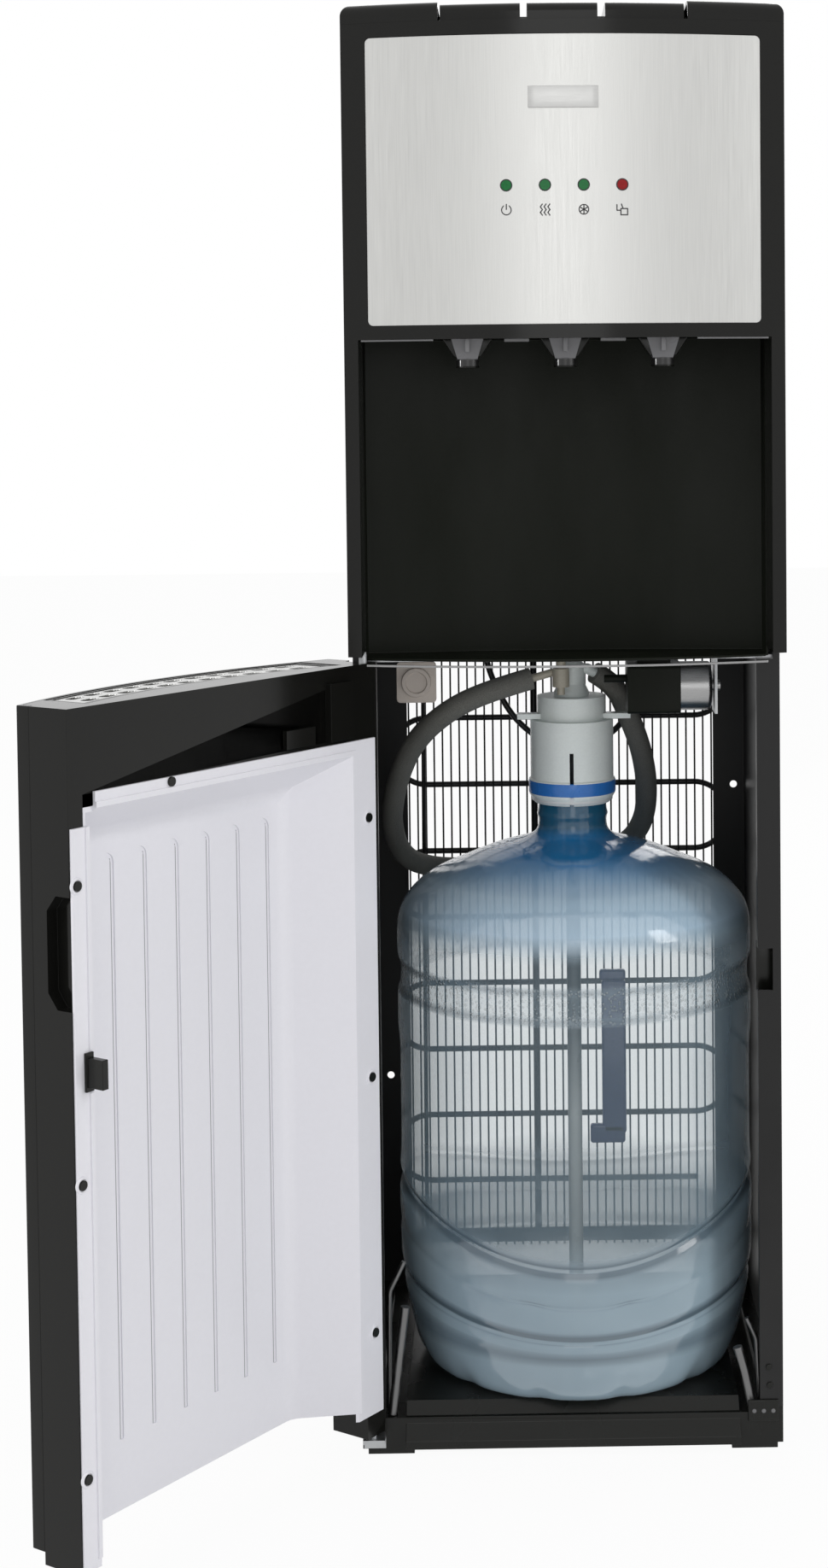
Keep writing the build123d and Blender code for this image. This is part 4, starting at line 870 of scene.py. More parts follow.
class Bench:
    """Modelling with Blender's operators, one piece at a time."""

    @staticmethod
    def take(piece: bpy.types.Object) -> None:
        """Makes a piece the only one that is selected.

        Args:
            piece: The piece.
        """
        bpy.ops.object.select_all(action="DESELECT")
        piece.select_set(True)
        bpy.context.view_layer.objects.active = piece

    @staticmethod
    @contextmanager
    def editing(piece: bpy.types.Object) -> Iterator[None]:
        """Takes a piece into edit mode, and out of it again after the indented lines.

        Args:
            piece: The piece.
        """
        Bench.take(piece)
        bpy.ops.object.mode_set(mode="EDIT")
        yield
        bpy.ops.object.mode_set(mode="OBJECT")

    @staticmethod
    def fix(piece: bpy.types.Object) -> None:
        """Puts a piece's place and turn into its mesh."""
        Bench.take(piece)
        bpy.ops.object.transform_apply(location=True, rotation=True, scale=True)

    @staticmethod
    def settle(name: str) -> bpy.types.Object:
        """Names the active piece and fixes it where it is.

        Args:
            name: The piece's name.

        Returns:
            The piece.
        """
        piece = bpy.context.object
        piece.name = piece.data.name = name
        Bench.fix(piece)
        return piece

    @staticmethod
    def block(name: str, low: Point, high: Point) -> bpy.types.Object:
        """A block between two corners.

        Args:
            name: Its name.
            low: The corner with the lowest values.
            high: The corner with the highest values.

        Returns:
            The block.
        """
        bpy.ops.object.select_all(action="DESELECT")
        middle = [(a + b) / 2 for a, b in zip(low, high)]
        size = [b - a for a, b in zip(low, high)]
        bpy.ops.mesh.primitive_cube_add(size=1.0, location=middle, scale=size)
        return Bench.settle(name)

    @staticmethod
    def bar(name: str, start: Point, end: Point, radius: float, sides: int = 32) -> bpy.types.Object:
        """A round bar from one point to another.

        Args:
            name: Its name.
            start: The middle of one end.
            end: The middle of the other.
            radius: Its radius.
            sides: Faces round it.

        Returns:
            The bar.
        """
        bpy.ops.object.select_all(action="DESELECT")
        run = Vector(end) - Vector(start)
        turn = run.to_track_quat("Z", "Y").to_euler()
        bpy.ops.mesh.primitive_cylinder_add(vertices=sides, radius=radius, depth=run.length,
                                            location=(Vector(start) + Vector(end)) / 2, rotation=turn)
        return Bench.settle(name)

    @staticmethod
    def ring(name: str, middle: Point, facing: Point, radius: float, thickness: float) -> bpy.types.Object:
        """A round ring that faces some way.

        Args:
            name: Its name.
            middle: Its middle.
            facing: The way its axis points.
            radius: From its middle to the middle of its bar.
            thickness: The bar's radius.

        Returns:
            The ring.
        """
        bpy.ops.object.select_all(action="DESELECT")
        turn = Vector(facing).to_track_quat("Z", "Y").to_euler()
        bpy.ops.mesh.primitive_torus_add(major_radius=radius, minor_radius=thickness, major_segments=40,
                                         minor_segments=10, location=middle, rotation=turn)
        return Bench.settle(name)

    @staticmethod
    def choose(piece: bpy.types.Object, test: Callable[[Vector], bool]) -> None:
        """In edit mode, selects the vertices whose place passes a test.

        Args:
            piece: The piece that is being edited.
            test: Takes a vertex's place.
        """
        bpy.ops.mesh.select_all(action="DESELECT")
        mesh = bmesh.from_edit_mesh(piece.data)
        for vertex in mesh.verts:
            vertex.select = test(vertex.co)
        mesh.select_flush_mode()
        bmesh.update_edit_mesh(piece.data)

    @staticmethod
    def join(name: str, parts: Sequence[bpy.types.Object]) -> bpy.types.Object:
        """Makes one piece of several.

        Args:
            name: The new piece's name.
            parts: What it is made of.

        Returns:
            The piece.
        """
        Bench.take(parts[0])
        for part in parts[1:]:
            part.select_set(True)
        bpy.ops.object.join()
        return Bench.settle(name)

    @staticmethod
    def soften(piece: bpy.types.Object, width: float, steps: int = 2, sharp: float = 32.0) -> None:
        """Rounds a piece's edges and shades it smooth between them.

        Args:
            piece: The piece.
            width: The bevel's width, or 0 for none.
            steps: Its segments.
            sharp: The angle in degrees from which an edge counts as sharp.
        """
        Bench.take(piece)
        if width > 0.0:
            bevel = piece.modifiers.new("edges", "BEVEL")
            bevel.width = width
            bevel.segments = steps
            bevel.limit_method = "ANGLE"
            bevel.angle_limit = math.radians(sharp)
            bevel.miter_outer = "MITER_ARC"
            bpy.ops.object.modifier_apply(modifier=bevel.name)
        bpy.ops.object.shade_smooth_by_angle(angle=math.radians(sharp))

    @staticmethod
    def hand_over(piece: bpy.types.Object, finish: Finish, slot: str, body: Body, *nodes: str) -> None:
        """Dresses a finished piece and fastens it to its body.

        Args:
            piece: The piece.
            finish: Its finish.
            slot: The material slot it stands for; not used.
            body: What it rides on.
            *nodes: The CAD nodes that it stands for.
        """
        piece.data.materials.clear()
        piece.data.materials.append(finish.material())
        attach(piece, body.value)
        if nodes:
            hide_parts(*nodes)
        LOG.info("%s made, %d faces", piece.name, len(piece.data.polygons))


@dataclass(frozen=True)
class Bow:
    """The bowed front's plan, worked out from the display panel's ends and middle."""

    half: float = 0.155
    rise: float = 0.024
    front: float = FRONT_Y

    @property
    def radius(self) -> float:
        """The radius of the front's arc."""
        return (self.half ** 2 + self.rise ** 2) / (2 * self.rise)

    def y(self, x: float, inset: float = 0.0) -> float:
        """Y of the front at x, moved back by inset."""
        return self.front + self.radius - math.sqrt((self.radius - inset) ** 2 - x * x)

    def normal(self, x: float) -> Vector:
        """The way the front faces at x."""
        return Vector((x / self.radius, -math.sqrt(1.0 - (x / self.radius) ** 2), 0.0))

    def wrap(self, piece: bpy.types.Object, middle: float, columns: int) -> None:
        """Lays a straight piece on the front, column by column.

        Args:
            piece: A piece that is straight along X, with its columns already cut.
            middle: The x at which it already touches.
            columns: How many cuts it has along X, both ends counted.
        """
        xs = [vertex.co.x for vertex in piece.data.vertices]
        low, high = min(xs), max(xs)
        with Bench.editing(piece):
            for i in range(columns):
                x = low + (high - low) * i / (columns - 1)
                Bench.choose(piece, lambda place, x=x: abs(place.x - x) < NEAR / 2)
                bpy.ops.transform.translate(value=(0.0, self.y(x) - self.y(middle), 0.0))


@dataclass
class Strip:
    """A thin strip that follows the bowed front."""

    name: str
    low: Point
    high: Point
    finish: Finish
    slot: str
    bow: Bow = Bow()
    cuts: int = 9
    edge: float = 0.0003

    def build(self) -> None:
        """Models the strip."""
        piece = Bench.block(self.name, self.low, self.high)
        step = (self.high[0] - self.low[0]) / (self.cuts + 1)
        with Bench.editing(piece):
            for i in range(self.cuts):
                bpy.ops.mesh.select_all(action="SELECT")
                cut = self.low[0] + step * (i + 1)
                bpy.ops.mesh.bisect(plane_co=(cut, 0.0, 0.0), plane_no=(1.0, 0.0, 0.0))
        self.bow.wrap(piece, 0.0, self.cuts + 2)
        Bench.soften(piece, self.edge)
        Bench.hand_over(piece, self.finish, self.slot, Body.CABINET)


@dataclass
class RoundedPart:
    """A CAD node's own shape with its edges broken, as a moulding's are."""

    node: str
    finish: Finish
    slot: str
    edge: float
    body: Body = Body.CABINET
    flat: float = 0.3
    merge: float = 0.00001
    facing: float = 0.99
    bowed: bool = False

    def follow_bow(self, piece: bpy.types.Object) -> None:
        """Gives the bowed front its own normals, so that the lamps' holes leave no smears round them.

        Args:
            piece: The bowed piece.
        """
        bow = Bow()
        mesh = piece.data
        normals = [Vector((0.0, 0.0, 0.0))] * len(mesh.loops)
        for face in mesh.polygons:
            if face.normal.dot(bow.normal(face.center.x)) > self.facing:
                for corner in face.loop_indices:
                    normals[corner] = bow.normal(mesh.vertices[mesh.loops[corner].vertex_index].co.x)
        mesh.normals_split_custom_set(normals)

    def level(self, piece: bpy.types.Object) -> None:
        """Lets the large faces decide the normals, so that a flat one looks flat up to its edges.

        Args:
            piece: The piece.
        """
        Bench.take(piece)
        weights = piece.modifiers.new("normals", "WEIGHTED_NORMAL")
        weights.keep_sharp = True
        bpy.ops.object.modifier_apply(modifier=weights.name)

    def build(self) -> None:
        """Copies the node's mesh, merges its triangles and rounds its edges."""
        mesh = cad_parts[self.node].data.copy()
        piece = bpy.data.objects.new(self.node + "_rounded", mesh)
        bpy.context.scene.collection.objects.link(piece)
        with Bench.editing(piece):
            bpy.ops.mesh.select_all(action="SELECT")
            bpy.ops.mesh.remove_doubles(threshold=self.merge)
            bpy.ops.mesh.dissolve_limited(angle_limit=math.radians(self.flat))
        Bench.soften(piece, self.edge)
        if self.bowed:
            self.follow_bow(piece)
        else:
            self.level(piece)
        Bench.hand_over(piece, self.finish, self.slot, self.body, self.node)


# ---------------------------------------------------------------- display panel


class Mark(Enum):
    """The generic marks under the lamps."""

    POWER = "power"
    HEAT = "heat"
    COLD = "cold"
    BOTTLE = "bottle"


@dataclass
class DisplayMarks:
    """Rings round the lamps, the marks under them and the bare plate over them."""

    bow: Bow = Bow()
    pitch: float = 0.0268
    lamp_z: float = 0.9225
    mark_z: float = 0.9055
    ring: float = 0.0039
    ring_bar: float = 0.00045
    tall: float = 0.0078
    stroke: float = 0.0008
    depth: float = 0.0004
    plate_low: Pair = (-0.0247, 0.9755)
    plate_high: Pair = (0.0241, 0.9905)
    plate_y: Pair = (-0.0003, 0.0008)
    skin: float = 0.0006
    overlap: float = 0.6
    hoop_size: float = 0.85
    gap: float = 0.45
    flames: tuple[float, ...] = (-0.0026, 0.0, 0.0026)
    flicker: float = 0.0007

    def build(self) -> None:
        """Models all of them."""
        for number, mark in enumerate(Mark):
            x = (number - (len(Mark) - 1) / 2) * self.pitch
            self.lamp_ring(x, mark)
            self.mark(x, mark)
        self.plate()

    def lamp_ring(self, x: float, mark: Mark) -> None:
        """Lays a dark ring round a lamp.

        Args:
            x: The lamp's x.
            mark: The mark under it, which the ring is named after.
        """
        middle = (x, self.bow.y(x, self.skin), self.lamp_z)
        piece = Bench.ring("lamp_ring_" + mark.value, middle, self.bow.normal(x), self.ring, self.ring_bar)
        Bench.soften(piece, 0.0)
        Bench.hand_over(piece, Kit.ink, "black_moulding", Body.CABINET)

    def stick(self, start: Pair, end: Pair) -> bpy.types.Object:
        """One flat stroke in the plane of X and Z.

        Args:
            start: X and Z of one end.
            end: X and Z of the other.

        Returns:
            The stroke.
        """
        run = Vector((end[0] - start[0], 0.0, end[1] - start[1]))
        middle = ((start[0] + end[0]) / 2, 0.0, (start[1] + end[1]) / 2)
        turn = (0.0, -math.atan2(run.z, run.x), 0.0)
        size = (run.length + self.stroke * self.overlap, self.depth, self.stroke)
        bpy.ops.object.select_all(action="DESELECT")
        bpy.ops.mesh.primitive_cube_add(size=1.0, location=middle, rotation=turn, scale=size)
        return Bench.settle("stroke")

    def hoop(self, radius: float, open_above: bool) -> bpy.types.Object:
        """A flat ring in the plane of X and Z, open above where the power mark's stroke stands.

        Args:
            radius: Its radius.
            open_above: Whether it is open.

        Returns:
            The ring.
        """
        piece = Bench.ring("hoop", (0.0, 0.0, 0.0), (0.0, -1.0, 0.0), radius, self.stroke / 2)
        if open_above:
            with Bench.editing(piece):
                Bench.choose(piece, lambda place: place.z > 0.0 and abs(place.x) < radius * self.gap)
                bpy.ops.mesh.delete(type="VERT")
                bpy.ops.mesh.select_all(action="SELECT")
                bpy.ops.mesh.fill_holes(sides=0)
        return piece

    def strokes(self, mark: Mark) -> list[bpy.types.Object]:
        """The strokes of a mark, about its own middle.

        Args:
            mark: Which one.

        Returns:
            Its strokes.
        """
        half = self.tall / 2
        if mark is Mark.POWER:
            return [self.hoop(half * self.hoop_size, True), self.stick((0.0, half * 0.1), (0.0, half))]
        if mark is Mark.HEAT:
            lines = []
            for x in self.flames:
                bends = [(x + self.flicker * (-1) ** i, half - i * self.tall / 4) for i in range(5)]
                lines += [self.stick(a, b) for a, b in zip(bends, bends[1:])]
            return lines
        if mark is Mark.COLD:
            spokes = []
            for i in range(3):
                turn = math.pi / 2 + i * math.pi / 3
                reach = (half * 0.8 * math.cos(turn), half * 0.8 * math.sin(turn))
                spokes.append(self.stick((-reach[0], -reach[1]), reach))
            return [self.hoop(half * self.hoop_size, False), *spokes]
        cup = [(-half, half * 0.8), (-half, -0.2 * half), (-0.3 * half, -0.2 * half)]
        box = [(-0.3 * half, 0.1 * half), (0.9 * half, 0.1 * half), (0.9 * half, -half), (-0.3 * half, -half),
               (-0.3 * half, 0.1 * half)]
        neck = [(0.1 * half, 0.1 * half), (-0.2 * half, 0.9 * half)]
        return [self.stick(a, b) for line in (cup, box, neck) for a, b in zip(line, line[1:])]

    def mark(self, x: float, mark: Mark) -> None:
        """Puts one mark on the panel under its lamp.

        Args:
            x: The lamp's x.
            mark: The mark.
        """
        piece = Bench.join("mark_" + mark.value, self.strokes(mark))
        facing = self.bow.normal(x)
        piece.location = (x, self.bow.y(x, self.skin), self.mark_z)
        piece.rotation_euler = (0.0, 0.0, math.atan2(facing.x, -facing.y))
        Bench.fix(piece)
        Bench.hand_over(piece, Kit.ink, "black_moulding", Body.CABINET)

    def plate(self) -> None:
        """The bare plate."""
        front = self.bow.y(0.0)
        low, high = ((x, front + y, z) for (x, z), y in zip((self.plate_low, self.plate_high), self.plate_y))
        Strip("bare_plate", low, high, Kit.badge, "stainless").build()


# ---------------------------------------------------------------- bottle


@dataclass
class Bottle:
    """The bottle as one blown wall: rings drawn up from its foot, with waved ribs and a scalloped foot."""

    axis: Pair = BOTTLE_AXIS
    columns: int = 72
    lobes: int = 12
    lobe_z: Pair = (0.0360, 0.0480)
    lobe_radius: float = 0.1
    lobe_gap: float = 0.13
    lobe_depth: float = 0.965
    foot_rings: tuple[tuple[float, float, float], ...] = (
        (0.060, 0.0430, 0.0), (0.080, 0.0430, 0.0), (0.092, 0.0385, 0.0), (0.101, 0.0365, 0.0),
        (0.111, 0.0363, 0.0), (0.118, 0.0395, 0.0), (0.1225, 0.0465, 0.0), (0.1255, 0.0560, 0.0),
        (0.1285, 0.0660, 0.004),
        (0.1320, 0.0750, 0.010), (0.1352, 0.0845, 0.016), (0.1312, 0.0880, 0.018), (0.1362, 0.0915, 0.020),
        (0.1366, 0.1030, 0.023), (0.1368, 0.1122, 0.026), (0.1354, 0.1140, 0.028), (0.1368, 0.1158, 0.030),
        (0.1368, 0.1270, 0.034), (0.1368, 0.1372, 0.037), (0.1318, 0.1410, 0.038), (0.1368, 0.1448, 0.038),
        (0.1360, 0.1600, 0.031), (0.1355, 0.1800, 0.016), (0.1353, 0.2050, 0.0),
    )
    body_rings: tuple[Pair, ...] = (
        (0.1353, 0.2450), (0.1353, 0.2850), (0.1368, 0.2910), (0.1368, 0.3000), (0.1368, 0.3180),
        (0.1366, 0.3225), (0.1340, 0.3265), (0.1340, 0.3435), (0.1366, 0.3475), (0.1368, 0.3530),
        (0.1368, 0.3700), (0.1362, 0.3770), (0.1345, 0.3835), (0.1310, 0.3900), (0.1250, 0.3975),
        (0.1180, 0.4040), (0.1100, 0.4090), (0.1000, 0.4135), (0.0900, 0.4175), (0.0800, 0.4220),
        (0.0680, 0.4270), (0.0540, 0.4315), (0.0420, 0.4345), (0.0330, 0.4375), (0.0275, 0.4415),
        (0.0262, 0.4470), (0.0262, 0.4530), (0.0280, 0.4550), (0.0262, 0.4570), (0.0262, 0.4690),
        (0.0250, 0.4700), (0.0238, 0.4690), (0.0238, 0.4570),
    )

    def build(self) -> None:
        """Models the bottle."""
        rings = [*((radius, height) for radius, height, _ in self.foot_rings), *self.body_rings]
        centre = (*self.axis, 0.0)
        bpy.ops.object.select_all(action="DESELECT")
        bpy.ops.mesh.primitive_circle_add(vertices=self.columns, radius=rings[0][0], fill_type="NGON",
                                          location=(*self.axis, rings[0][1]))
        piece = Bench.settle("bottle_wall")
        with Bench.editing(piece):
            self.choose_ring(piece, rings[0])
            for before, after in zip(rings, rings[1:]):
                bpy.ops.mesh.extrude_edges_move(
                    TRANSFORM_OT_translate={"value": (0.0, 0.0, after[1] - before[1])})
                scale = after[0] / before[0]
                bpy.ops.transform.resize(value=(scale, scale, 1.0), center_override=centre)
            self.scallop(piece)
            self.wave(piece)
            bpy.ops.mesh.select_all(action="SELECT")
            bpy.ops.mesh.normals_make_consistent(inside=False)
        smooth = piece.modifiers.new("smooth", "SUBSURF")
        smooth.levels = smooth.render_levels = 1
        bpy.ops.object.modifier_apply(modifier=smooth.name)
        bpy.ops.object.shade_smooth()
        Bench.hand_over(piece, Kit.bottle, "bottle_blue", Body.CABINET, "water_bottle")

    def choose_ring(self, piece: bpy.types.Object, ring: Pair) -> None:
        """Selects the vertices of one ring."""
        Bench.choose(piece, lambda place: abs(place.z - ring[1]) < NEAR
                     and abs(self.reach(place) - ring[0]) < NEAR)

    def reach(self, place: Vector) -> float:
        """How far a place is from the bottle's axis."""
        return math.hypot(place.x - self.axis[0], place.y - self.axis[1])

    def angle(self, place: Vector) -> float:
        """The angle of a place round the bottle, 0 at the front."""
        return math.atan2(place.x - self.axis[0], self.axis[1] - place.y)

    def scallop(self, piece: bpy.types.Object) -> None:
        """Draws the foot in between its lobes.

        Args:
            piece: The bottle, in edit mode.
        """
        step = 2 * math.pi / self.lobes
        Bench.choose(piece, lambda place: self.lobe_z[0] < place.z < self.lobe_z[1]
                     and self.reach(place) > self.lobe_radius
                     and abs((self.angle(place) / step) % 1.0 - 0.5) < self.lobe_gap)
        size = (self.lobe_depth, self.lobe_depth, 1.0)
        bpy.ops.transform.resize(value=size, center_override=(*self.axis, 0.0))

    def wave(self, piece: bpy.types.Object) -> None:
        """Lifts the ribs at the bottle's two sides, ring by ring and column by column.

        Args:
            piece: The bottle, in edit mode.
        """
        quarter = self.columns // 4
        for rise in sorted({ring[2] for ring in self.foot_rings if ring[2] > 0.0}):
            heights = [ring[1] for ring in self.foot_rings if ring[2] == rise]
            for column in range(1, quarter + 1):
                sine = math.sin(column * 2 * math.pi / self.columns)
                Bench.choose(piece, lambda place, heights=heights, sine=sine: any(
                    abs(place.z - height) < NEAR for height in heights)
                    and abs(abs(math.sin(self.angle(place))) - sine) < NEAR * 10)
                bpy.ops.transform.translate(value=(0.0, 0.0, rise * sine * sine))


@dataclass
class BottleStrap:
    """The carrying grip moulded in the bottle's rear wall."""

    bar_low: Point = (0.0315, 0.1255, 0.166)
    bar_high: Point = (0.0515, 0.1325, 0.2945)
    head_low: Point = (0.0298, 0.1255, 0.294)
    head_high: Point = (0.0515, 0.1325, 0.303)
    foot_low: Point = (0.0215, 0.1255, 0.158)
    foot_high: Point = (0.0505, 0.1325, 0.174)
    edge: float = 0.0024

    def build(self) -> None:
        """Models the grip."""
        bar = Bench.block("bar", self.bar_low, self.bar_high)
        head = Bench.block("head", self.head_low, self.head_high)
        foot = Bench.block("foot", self.foot_low, self.foot_high)
        for part in (bar, head, foot):
            Bench.soften(part, self.edge, 4)
        piece = Bench.join("bottle_grip", (bar, head, foot))
        Bench.hand_over(piece, Kit.strap, "bottle_blue", Body.CABINET)


@dataclass
class CapBand:
    """Blue band and white skirt round the foot of the probe's cap."""

    axis: Pair = BOTTLE_AXIS
    band: tuple[float, float, float] = (0.0336, 0.4715, 0.4815)
    skirt: tuple[float, float, float] = (0.0312, 0.4655, 0.4715)
    bore: float = 0.0288
    bore_depth: float = 0.003

    def build(self) -> None:
        """Models both rings."""
        self.sleeve("cap_band", self.band, Kit.band, 0.0008)
        self.sleeve("cap_skirt", self.skirt, Kit.skirt, 0.0006)

    def sleeve(self, name: str, size: tuple[float, float, float], finish: Finish, edge: float) -> None:
        """A short sleeve round the cap.

        Args:
            name: Its name.
            size: Its radius, its foot and its top.
            finish: Its finish.
            edge: How far its edges are rounded.
        """
        radius, low, high = size
        piece = Bench.bar(name, (*self.axis, low), (*self.axis, high), radius, 64)
        with Bench.editing(piece):
            for level, drop in ((high, -self.bore_depth), (low, self.bore_depth)):
                Bench.choose(piece, lambda place, level=level: abs(place.z - level) < NEAR / 10)
                bpy.ops.mesh.inset(thickness=radius - self.bore, depth=0.0)
                bpy.ops.mesh.extrude_region_move(TRANSFORM_OT_translate={"value": (0.0, 0.0, drop)})
        Bench.soften(piece, edge)
        Bench.hand_over(piece, finish, "cap_white", Body.CABINET)


# ---------------------------------------------------------------- small fittings


@dataclass
class TapDetails:
    """The dark wings round each tap, its nozzle's rim and painted glint, the pads and bright edges beside the
    taps, and a painted highlight along the ledge.
    """

    pitch: float = 0.0685
    tap_y: float = -0.155
    nozzle_z: float = 0.7975
    nozzle_radius: float = 0.0076
    rim: float = 0.0007
    glint: float = 0.0004
    glint_at: Pair = (0.65, 0.76)
    glint_tall: float = 0.005
    ledge_low: Point = (-0.142, -0.1753, 0.5871)
    ledge_high: Point = (0.142, -0.1735, 0.5886)
    wing_low: Point = (-0.018, -0.0061, 0.8046)
    wing_high: Point = (0.018, 0.0061, 0.8178)
    wing_taper: float = 0.52
    pads: tuple[Pair, ...] = ((-0.0427, -0.0253), (0.0242, 0.0419))
    pad_y: Pair = (FRONT_Y + 0.0012, FRONT_Y + 0.008)
    pad_z: Pair = (0.8146, 0.8174)
    edges: tuple[Pair, ...] = ((-0.143, -0.092), (0.092, 0.143))
    edge_y: Pair = (FRONT_Y + 0.0006, FRONT_Y + 0.003)
    edge_z: Pair = (0.8158, 0.8172)

    def build(self) -> None:
        """Models all of them."""
        for number in range(3):
            x = (number - 1) * self.pitch
            name, place = f"nozzle_ring_{number + 1}", (x, self.tap_y, self.nozzle_z)
            ring = Bench.ring(name, place, (0.0, 0.0, 1.0), self.nozzle_radius, self.rim)
            Bench.soften(ring, 0.0)
            Bench.hand_over(ring, Kit.black, "tap_grey", Body.CABINET)
            self.painted_nozzle_glint(number, x)
            self.wing(number, x)
        for number, ends in enumerate(self.pads):
            low, high = zip(ends, self.pad_y, self.pad_z)
            Strip(f"ceiling_pad_{number + 1}", low, high, Kit.pad, "tap_grey", cuts=3, edge=0.0006).build()
        for number, ends in enumerate(self.edges):
            low, high = zip(ends, self.edge_y, self.edge_z)
            Strip(f"band_edge_{number + 1}", low, high, Kit.trim, "black_moulding").build()
        # Painted highlight: a pale strip along the ledge's lower front edge.
        Strip("ledge_painted_highlight", self.ledge_low, self.ledge_high, Kit.painted_highlight, "black_moulding", cuts=19).build()

    def painted_nozzle_glint(self, number: int, x: float) -> None:
        """Models a painted glint: a thin bright bar down the left of a nozzle.

        Args:
            number: The tap's number, from 0 at the left.
            x: Its x.
        """
        left = (x - self.nozzle_radius * self.glint_at[0], self.tap_y - self.nozzle_radius * self.glint_at[1])
        top = (*left, self.nozzle_z + self.glint_tall)
        # Painted highlight: a bright bar stands for the glint on the nozzle.
        line = Bench.bar(f"nozzle_painted_glint_{number + 1}", (*left, self.nozzle_z), top, self.glint, 12)
        Bench.soften(line, 0.0002)
        Bench.hand_over(line, Kit.painted_glint_chrome, "tap_grey", Body.CABINET)

    def wing(self, number: int, x: float) -> None:
        """Models the dark housing that spreads behind a tap's facet, narrower below.

        Args:
            number: The tap's number, from 0 at the left.
            x: Its x.
        """
        low = (x + self.wing_low[0], self.tap_y + self.wing_low[1], self.wing_low[2])
        high = (x + self.wing_high[0], self.tap_y + self.wing_high[1], self.wing_high[2])
        piece = Bench.block(f"tap_wing_{number + 1}", low, high)
        with Bench.editing(piece):
            Bench.choose(piece, lambda place: place.z < low[2] + NEAR)
            taper = (self.wing_taper, 1.0, 1.0)
            bpy.ops.transform.resize(value=taper, center_override=(x, self.tap_y, low[2]))
        Bench.soften(piece, 0.0012, 3)
        Bench.hand_over(piece, Kit.black, "tap_grey", Body.CABINET)


@dataclass
class LinerDimples:
    """A raised ring round each screw of the door's liner, made closed and swung open."""

    hinge: Pair = DOOR_HINGE
    swing: float = DOOR_SWING
    face: float = -0.1105
    screws: tuple[Pair, ...] = (
        (-0.142, 0.098), (-0.142, 0.286), (-0.142, 0.475), (0.1505, 0.098), (0.1505, 0.286), (0.1505, 0.475),
    )
    radius: float = 0.0045
    bar: float = 0.0011

    def build(self) -> None:
        """Models one ring for each screw."""
        angle = math.radians(-self.swing)
        hinge = Vector((*self.hinge, 0.0))
        for number, (x, z) in enumerate(self.screws):
            place = (x, self.face, z)
            piece = Bench.ring(f"dimple_{number + 1}", place, (0.0, 1.0, 0.0), self.radius, self.bar)
            piece.rotation_euler = (0.0, 0.0, angle)
            piece.location = hinge - Matrix.Rotation(angle, 3, "Z") @ hinge
            Bench.fix(piece)
            Bench.soften(piece, 0.0)
            Bench.hand_over(piece, Kit.liner, "liner_grey", Body.DOOR)


@dataclass
class CornerPlate:
    """The plate and screws at the cabinet's lower right front corner, and a dark block of painted shade in
    the catch's notch above them.
    """

    notch_shade_low: Point = (0.138, -0.0945, 0.338)
    notch_shade_high: Point = (0.1538, -0.0925, 0.375)
    low: Point = (0.129, -0.1098, 0.0205)
    high: Point = (0.1515, -0.1078, 0.0365)
    dots: tuple[Pair, ...] = ((0.1335, 0.0285), (0.1405, 0.0285), (0.1475, 0.0285))
    screws: tuple[Pair, ...] = ((0.1446, 0.0605), (0.1452, 0.047))
    dot: float = 0.0016
    dot_tall: float = 0.0005
    head: float = 0.0024
    head_y: Pair = (-0.1075, -0.1092)

    def build(self) -> None:
        """Models the plate with its screws, and the block of painted shade."""
        plate = Bench.block("corner_plate", self.low, self.high)
        Bench.soften(plate, 0.0008, 3)
        Bench.hand_over(plate, Kit.black, "black_moulding", Body.CABINET)
        rear, front = self.low[1], self.low[1] - self.dot_tall
        for number, (x, z) in enumerate(self.dots):
            screw = Bench.bar(f"plate_screw_{number + 1}", (x, rear, z), (x, front, z), self.dot, 20)
            Bench.soften(screw, 0.0002)
            Bench.hand_over(screw, Kit.trim, "galvanised", Body.CABINET)
        rear, front = self.head_y
        for number, (x, z) in enumerate(self.screws):
            screw = Bench.bar(f"jamb_screw_{number + 1}", (x, rear, z), (x, front, z), self.head, 24)
            Bench.soften(screw, 0.0006, 3)
            Bench.hand_over(screw, Kit.black, "black_moulding", Body.CABINET)
        # Painted shade: a black block fills the catch's notch so that it reads dark.
        notch_shade = Bench.block("notch_painted_shade", self.notch_shade_low, self.notch_shade_high)
        Bench.soften(notch_shade, 0.0005)
        Bench.hand_over(notch_shade, Kit.black, "black_moulding", Body.CABINET)


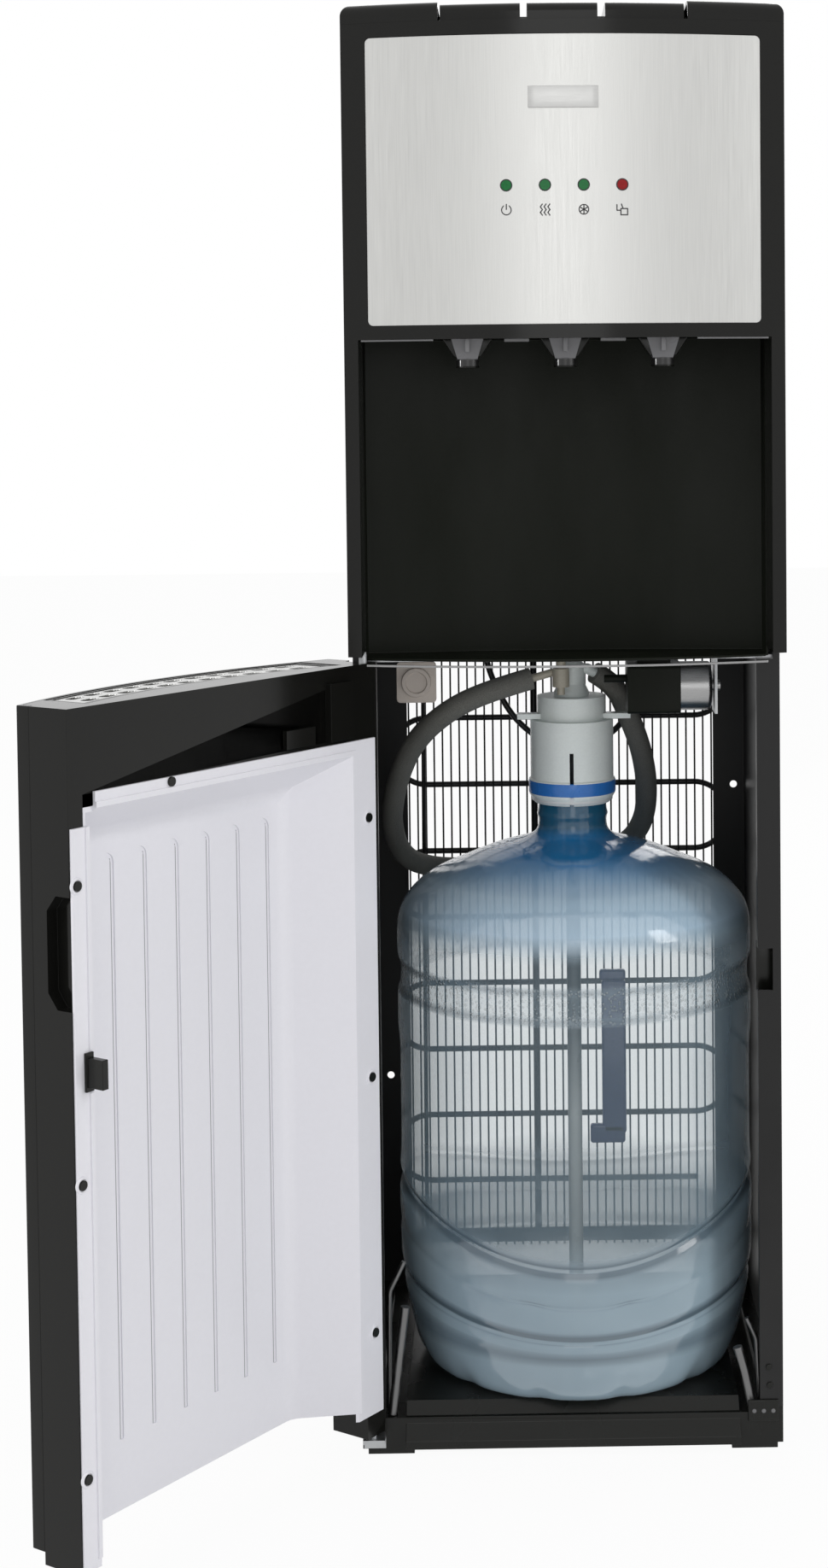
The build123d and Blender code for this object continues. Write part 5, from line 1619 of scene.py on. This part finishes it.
ROUNDED: tuple[RoundedPart, ...] = (
    RoundedPart("front_housing", Kit.gloss_black, "gloss_black", 0.0012),
    RoundedPart("top_cover", Kit.gloss_black, "gloss_black", 0.0006),
    RoundedPart("hot_key", Kit.gloss_black, "gloss_black", 0.0006, Body.HOT_KEY),
    RoundedPart("room_key", Kit.gloss_black, "gloss_black", 0.0006, Body.ROOM_KEY),
    RoundedPart("cold_key", Kit.gloss_black, "gloss_black", 0.0006, Body.COLD_KEY),
    RoundedPart("display_panel", Kit.stainless, "stainless", 0.0004, bowed=True),
    RoundedPart("alcove_liner", Kit.alcove, "black_moulding", 0.0007),
    RoundedPart("base_pan", Kit.black, "black_moulding", 0.0018),
    RoundedPart("pump_head", Kit.alcove, "black_moulding", 0.0012),
    RoundedPart("door_front", Kit.gloss_black, "black_moulding", 0.0012, Body.DOOR),
    RoundedPart("door_frame", Kit.gloss_black, "black_moulding", 0.0014, Body.DOOR),
    RoundedPart("door_liner", Kit.liner, "liner_grey", 0.0008, Body.DOOR),
    RoundedPart("door_catch", Kit.black, "black_moulding", 0.0005, Body.DOOR),
    RoundedPart("drip_tray", Kit.black, "black_moulding", 0.0005, Body.TRAY),
    RoundedPart("drip_grille", Kit.grille, "stainless", 0.0004, Body.GRILLE),
    RoundedPart("hot_tap", Kit.nozzle, "tap_grey", 0.0006),
    RoundedPart("room_tap", Kit.nozzle, "tap_grey", 0.0006),
    RoundedPart("cold_tap", Kit.nozzle, "tap_grey", 0.0006),
    RoundedPart("probe_cap", Kit.cap, "cap_white", 0.0008),
    RoundedPart("cap_collar", Kit.cap, "cap_white", 0.0008),
    RoundedPart("probe_hanger", Kit.hanger, "cap_white", 0.0006),
)


# ---------------------------------------------------------------- cords


@dataclass
class Cord:
    """A free hose or lead on its route, as one smooth curve."""

    name: str
    node: str
    slot: str
    finish: Finish
    route: Sequence[Point]
    radius: float
    length: float
    stiffness: str

    def build(self) -> None:
        data = bpy.data.curves.new(self.name, "CURVE")
        data.dimensions = "3D"
        data.bevel_depth = self.radius
        data.bevel_resolution = 6
        data.use_fill_caps = True
        spline = data.splines.new("NURBS")
        spline.points.add(len(self.route) - 1)
        for point, place in zip(spline.points, self.route):
            point.co = (*(c * MM for c in place), 1.0)
        spline.order_u = 3
        spline.use_endpoint_u = True
        spline.resolution_u = 12
        data.materials.append(self.finish.material())
        piece = bpy.data.objects.new(self.name, data)
        bpy.context.scene.collection.objects.link(piece)
        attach(piece, Body.CABINET.value)
        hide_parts(self.node)
        LOG.info("%s laid, %d points", self.name, len(self.route))


HOSE_ROUTE: tuple[Point, ...] = (
    (-25, -20, 562), (-56, -25, 554), (-88, -19, 539), (-116, 3, 512), (-132, 36, 474), (-138, 72, 434),
    (-130, 108, 402), (-106, 135, 388), (-68, 147, 386), (-26, 149, 388), (16, 147, 392), (50, 132, 404),
    (66, 104, 428), (68, 72, 462), (62, 44, 498), (50, 24, 530), (40, 14, 553), (24, 7, 563),
)
LEAD_ROUTE: tuple[Point, ...] = (
    (-66, 148, 584), (-62, 148, 560), (-52, 149, 532), (-36, 150, 506), (-12, 151, 488), (18, 151, 484),
    (44, 148, 496), (60, 136, 520), (66, 112, 538), (64, 82, 548), (68, 50, 556), (67, 20, 556),
    (67, -8, 556),
)


def dress_frame() -> None:
    """Gives every CAD node its finish."""
    for finish, nodes in FINISHES.items():
        getattr(Kit, finish).dress(*nodes)
        LOG.info("%s on %s", finish, ", ".join(nodes))


def main() -> None:
    """Builds the cooler's looks in order."""
    logging.basicConfig(level=logging.INFO, format="%(name)s: %(message)s")
    Studio().build()
    Cord("hose", "insulated_hose", "hose_foam", Kit.hose, HOSE_ROUTE, 0.0085, 0.683, "medium").build()
    Cord("lead", "pump_lead", "hose_foam", Kit.rubber, LEAD_ROUTE, 0.0025, 0.354, "limp").build()
    dress_frame()
    for part in ROUNDED:
        part.build()
    DisplayMarks().build()
    Bottle().build()
    BottleStrap().build()
    CapBand().build()
    TapDetails().build()
    LinerDimples().build()
    CornerPlate().build()


if __name__ == "__main__":
    main()
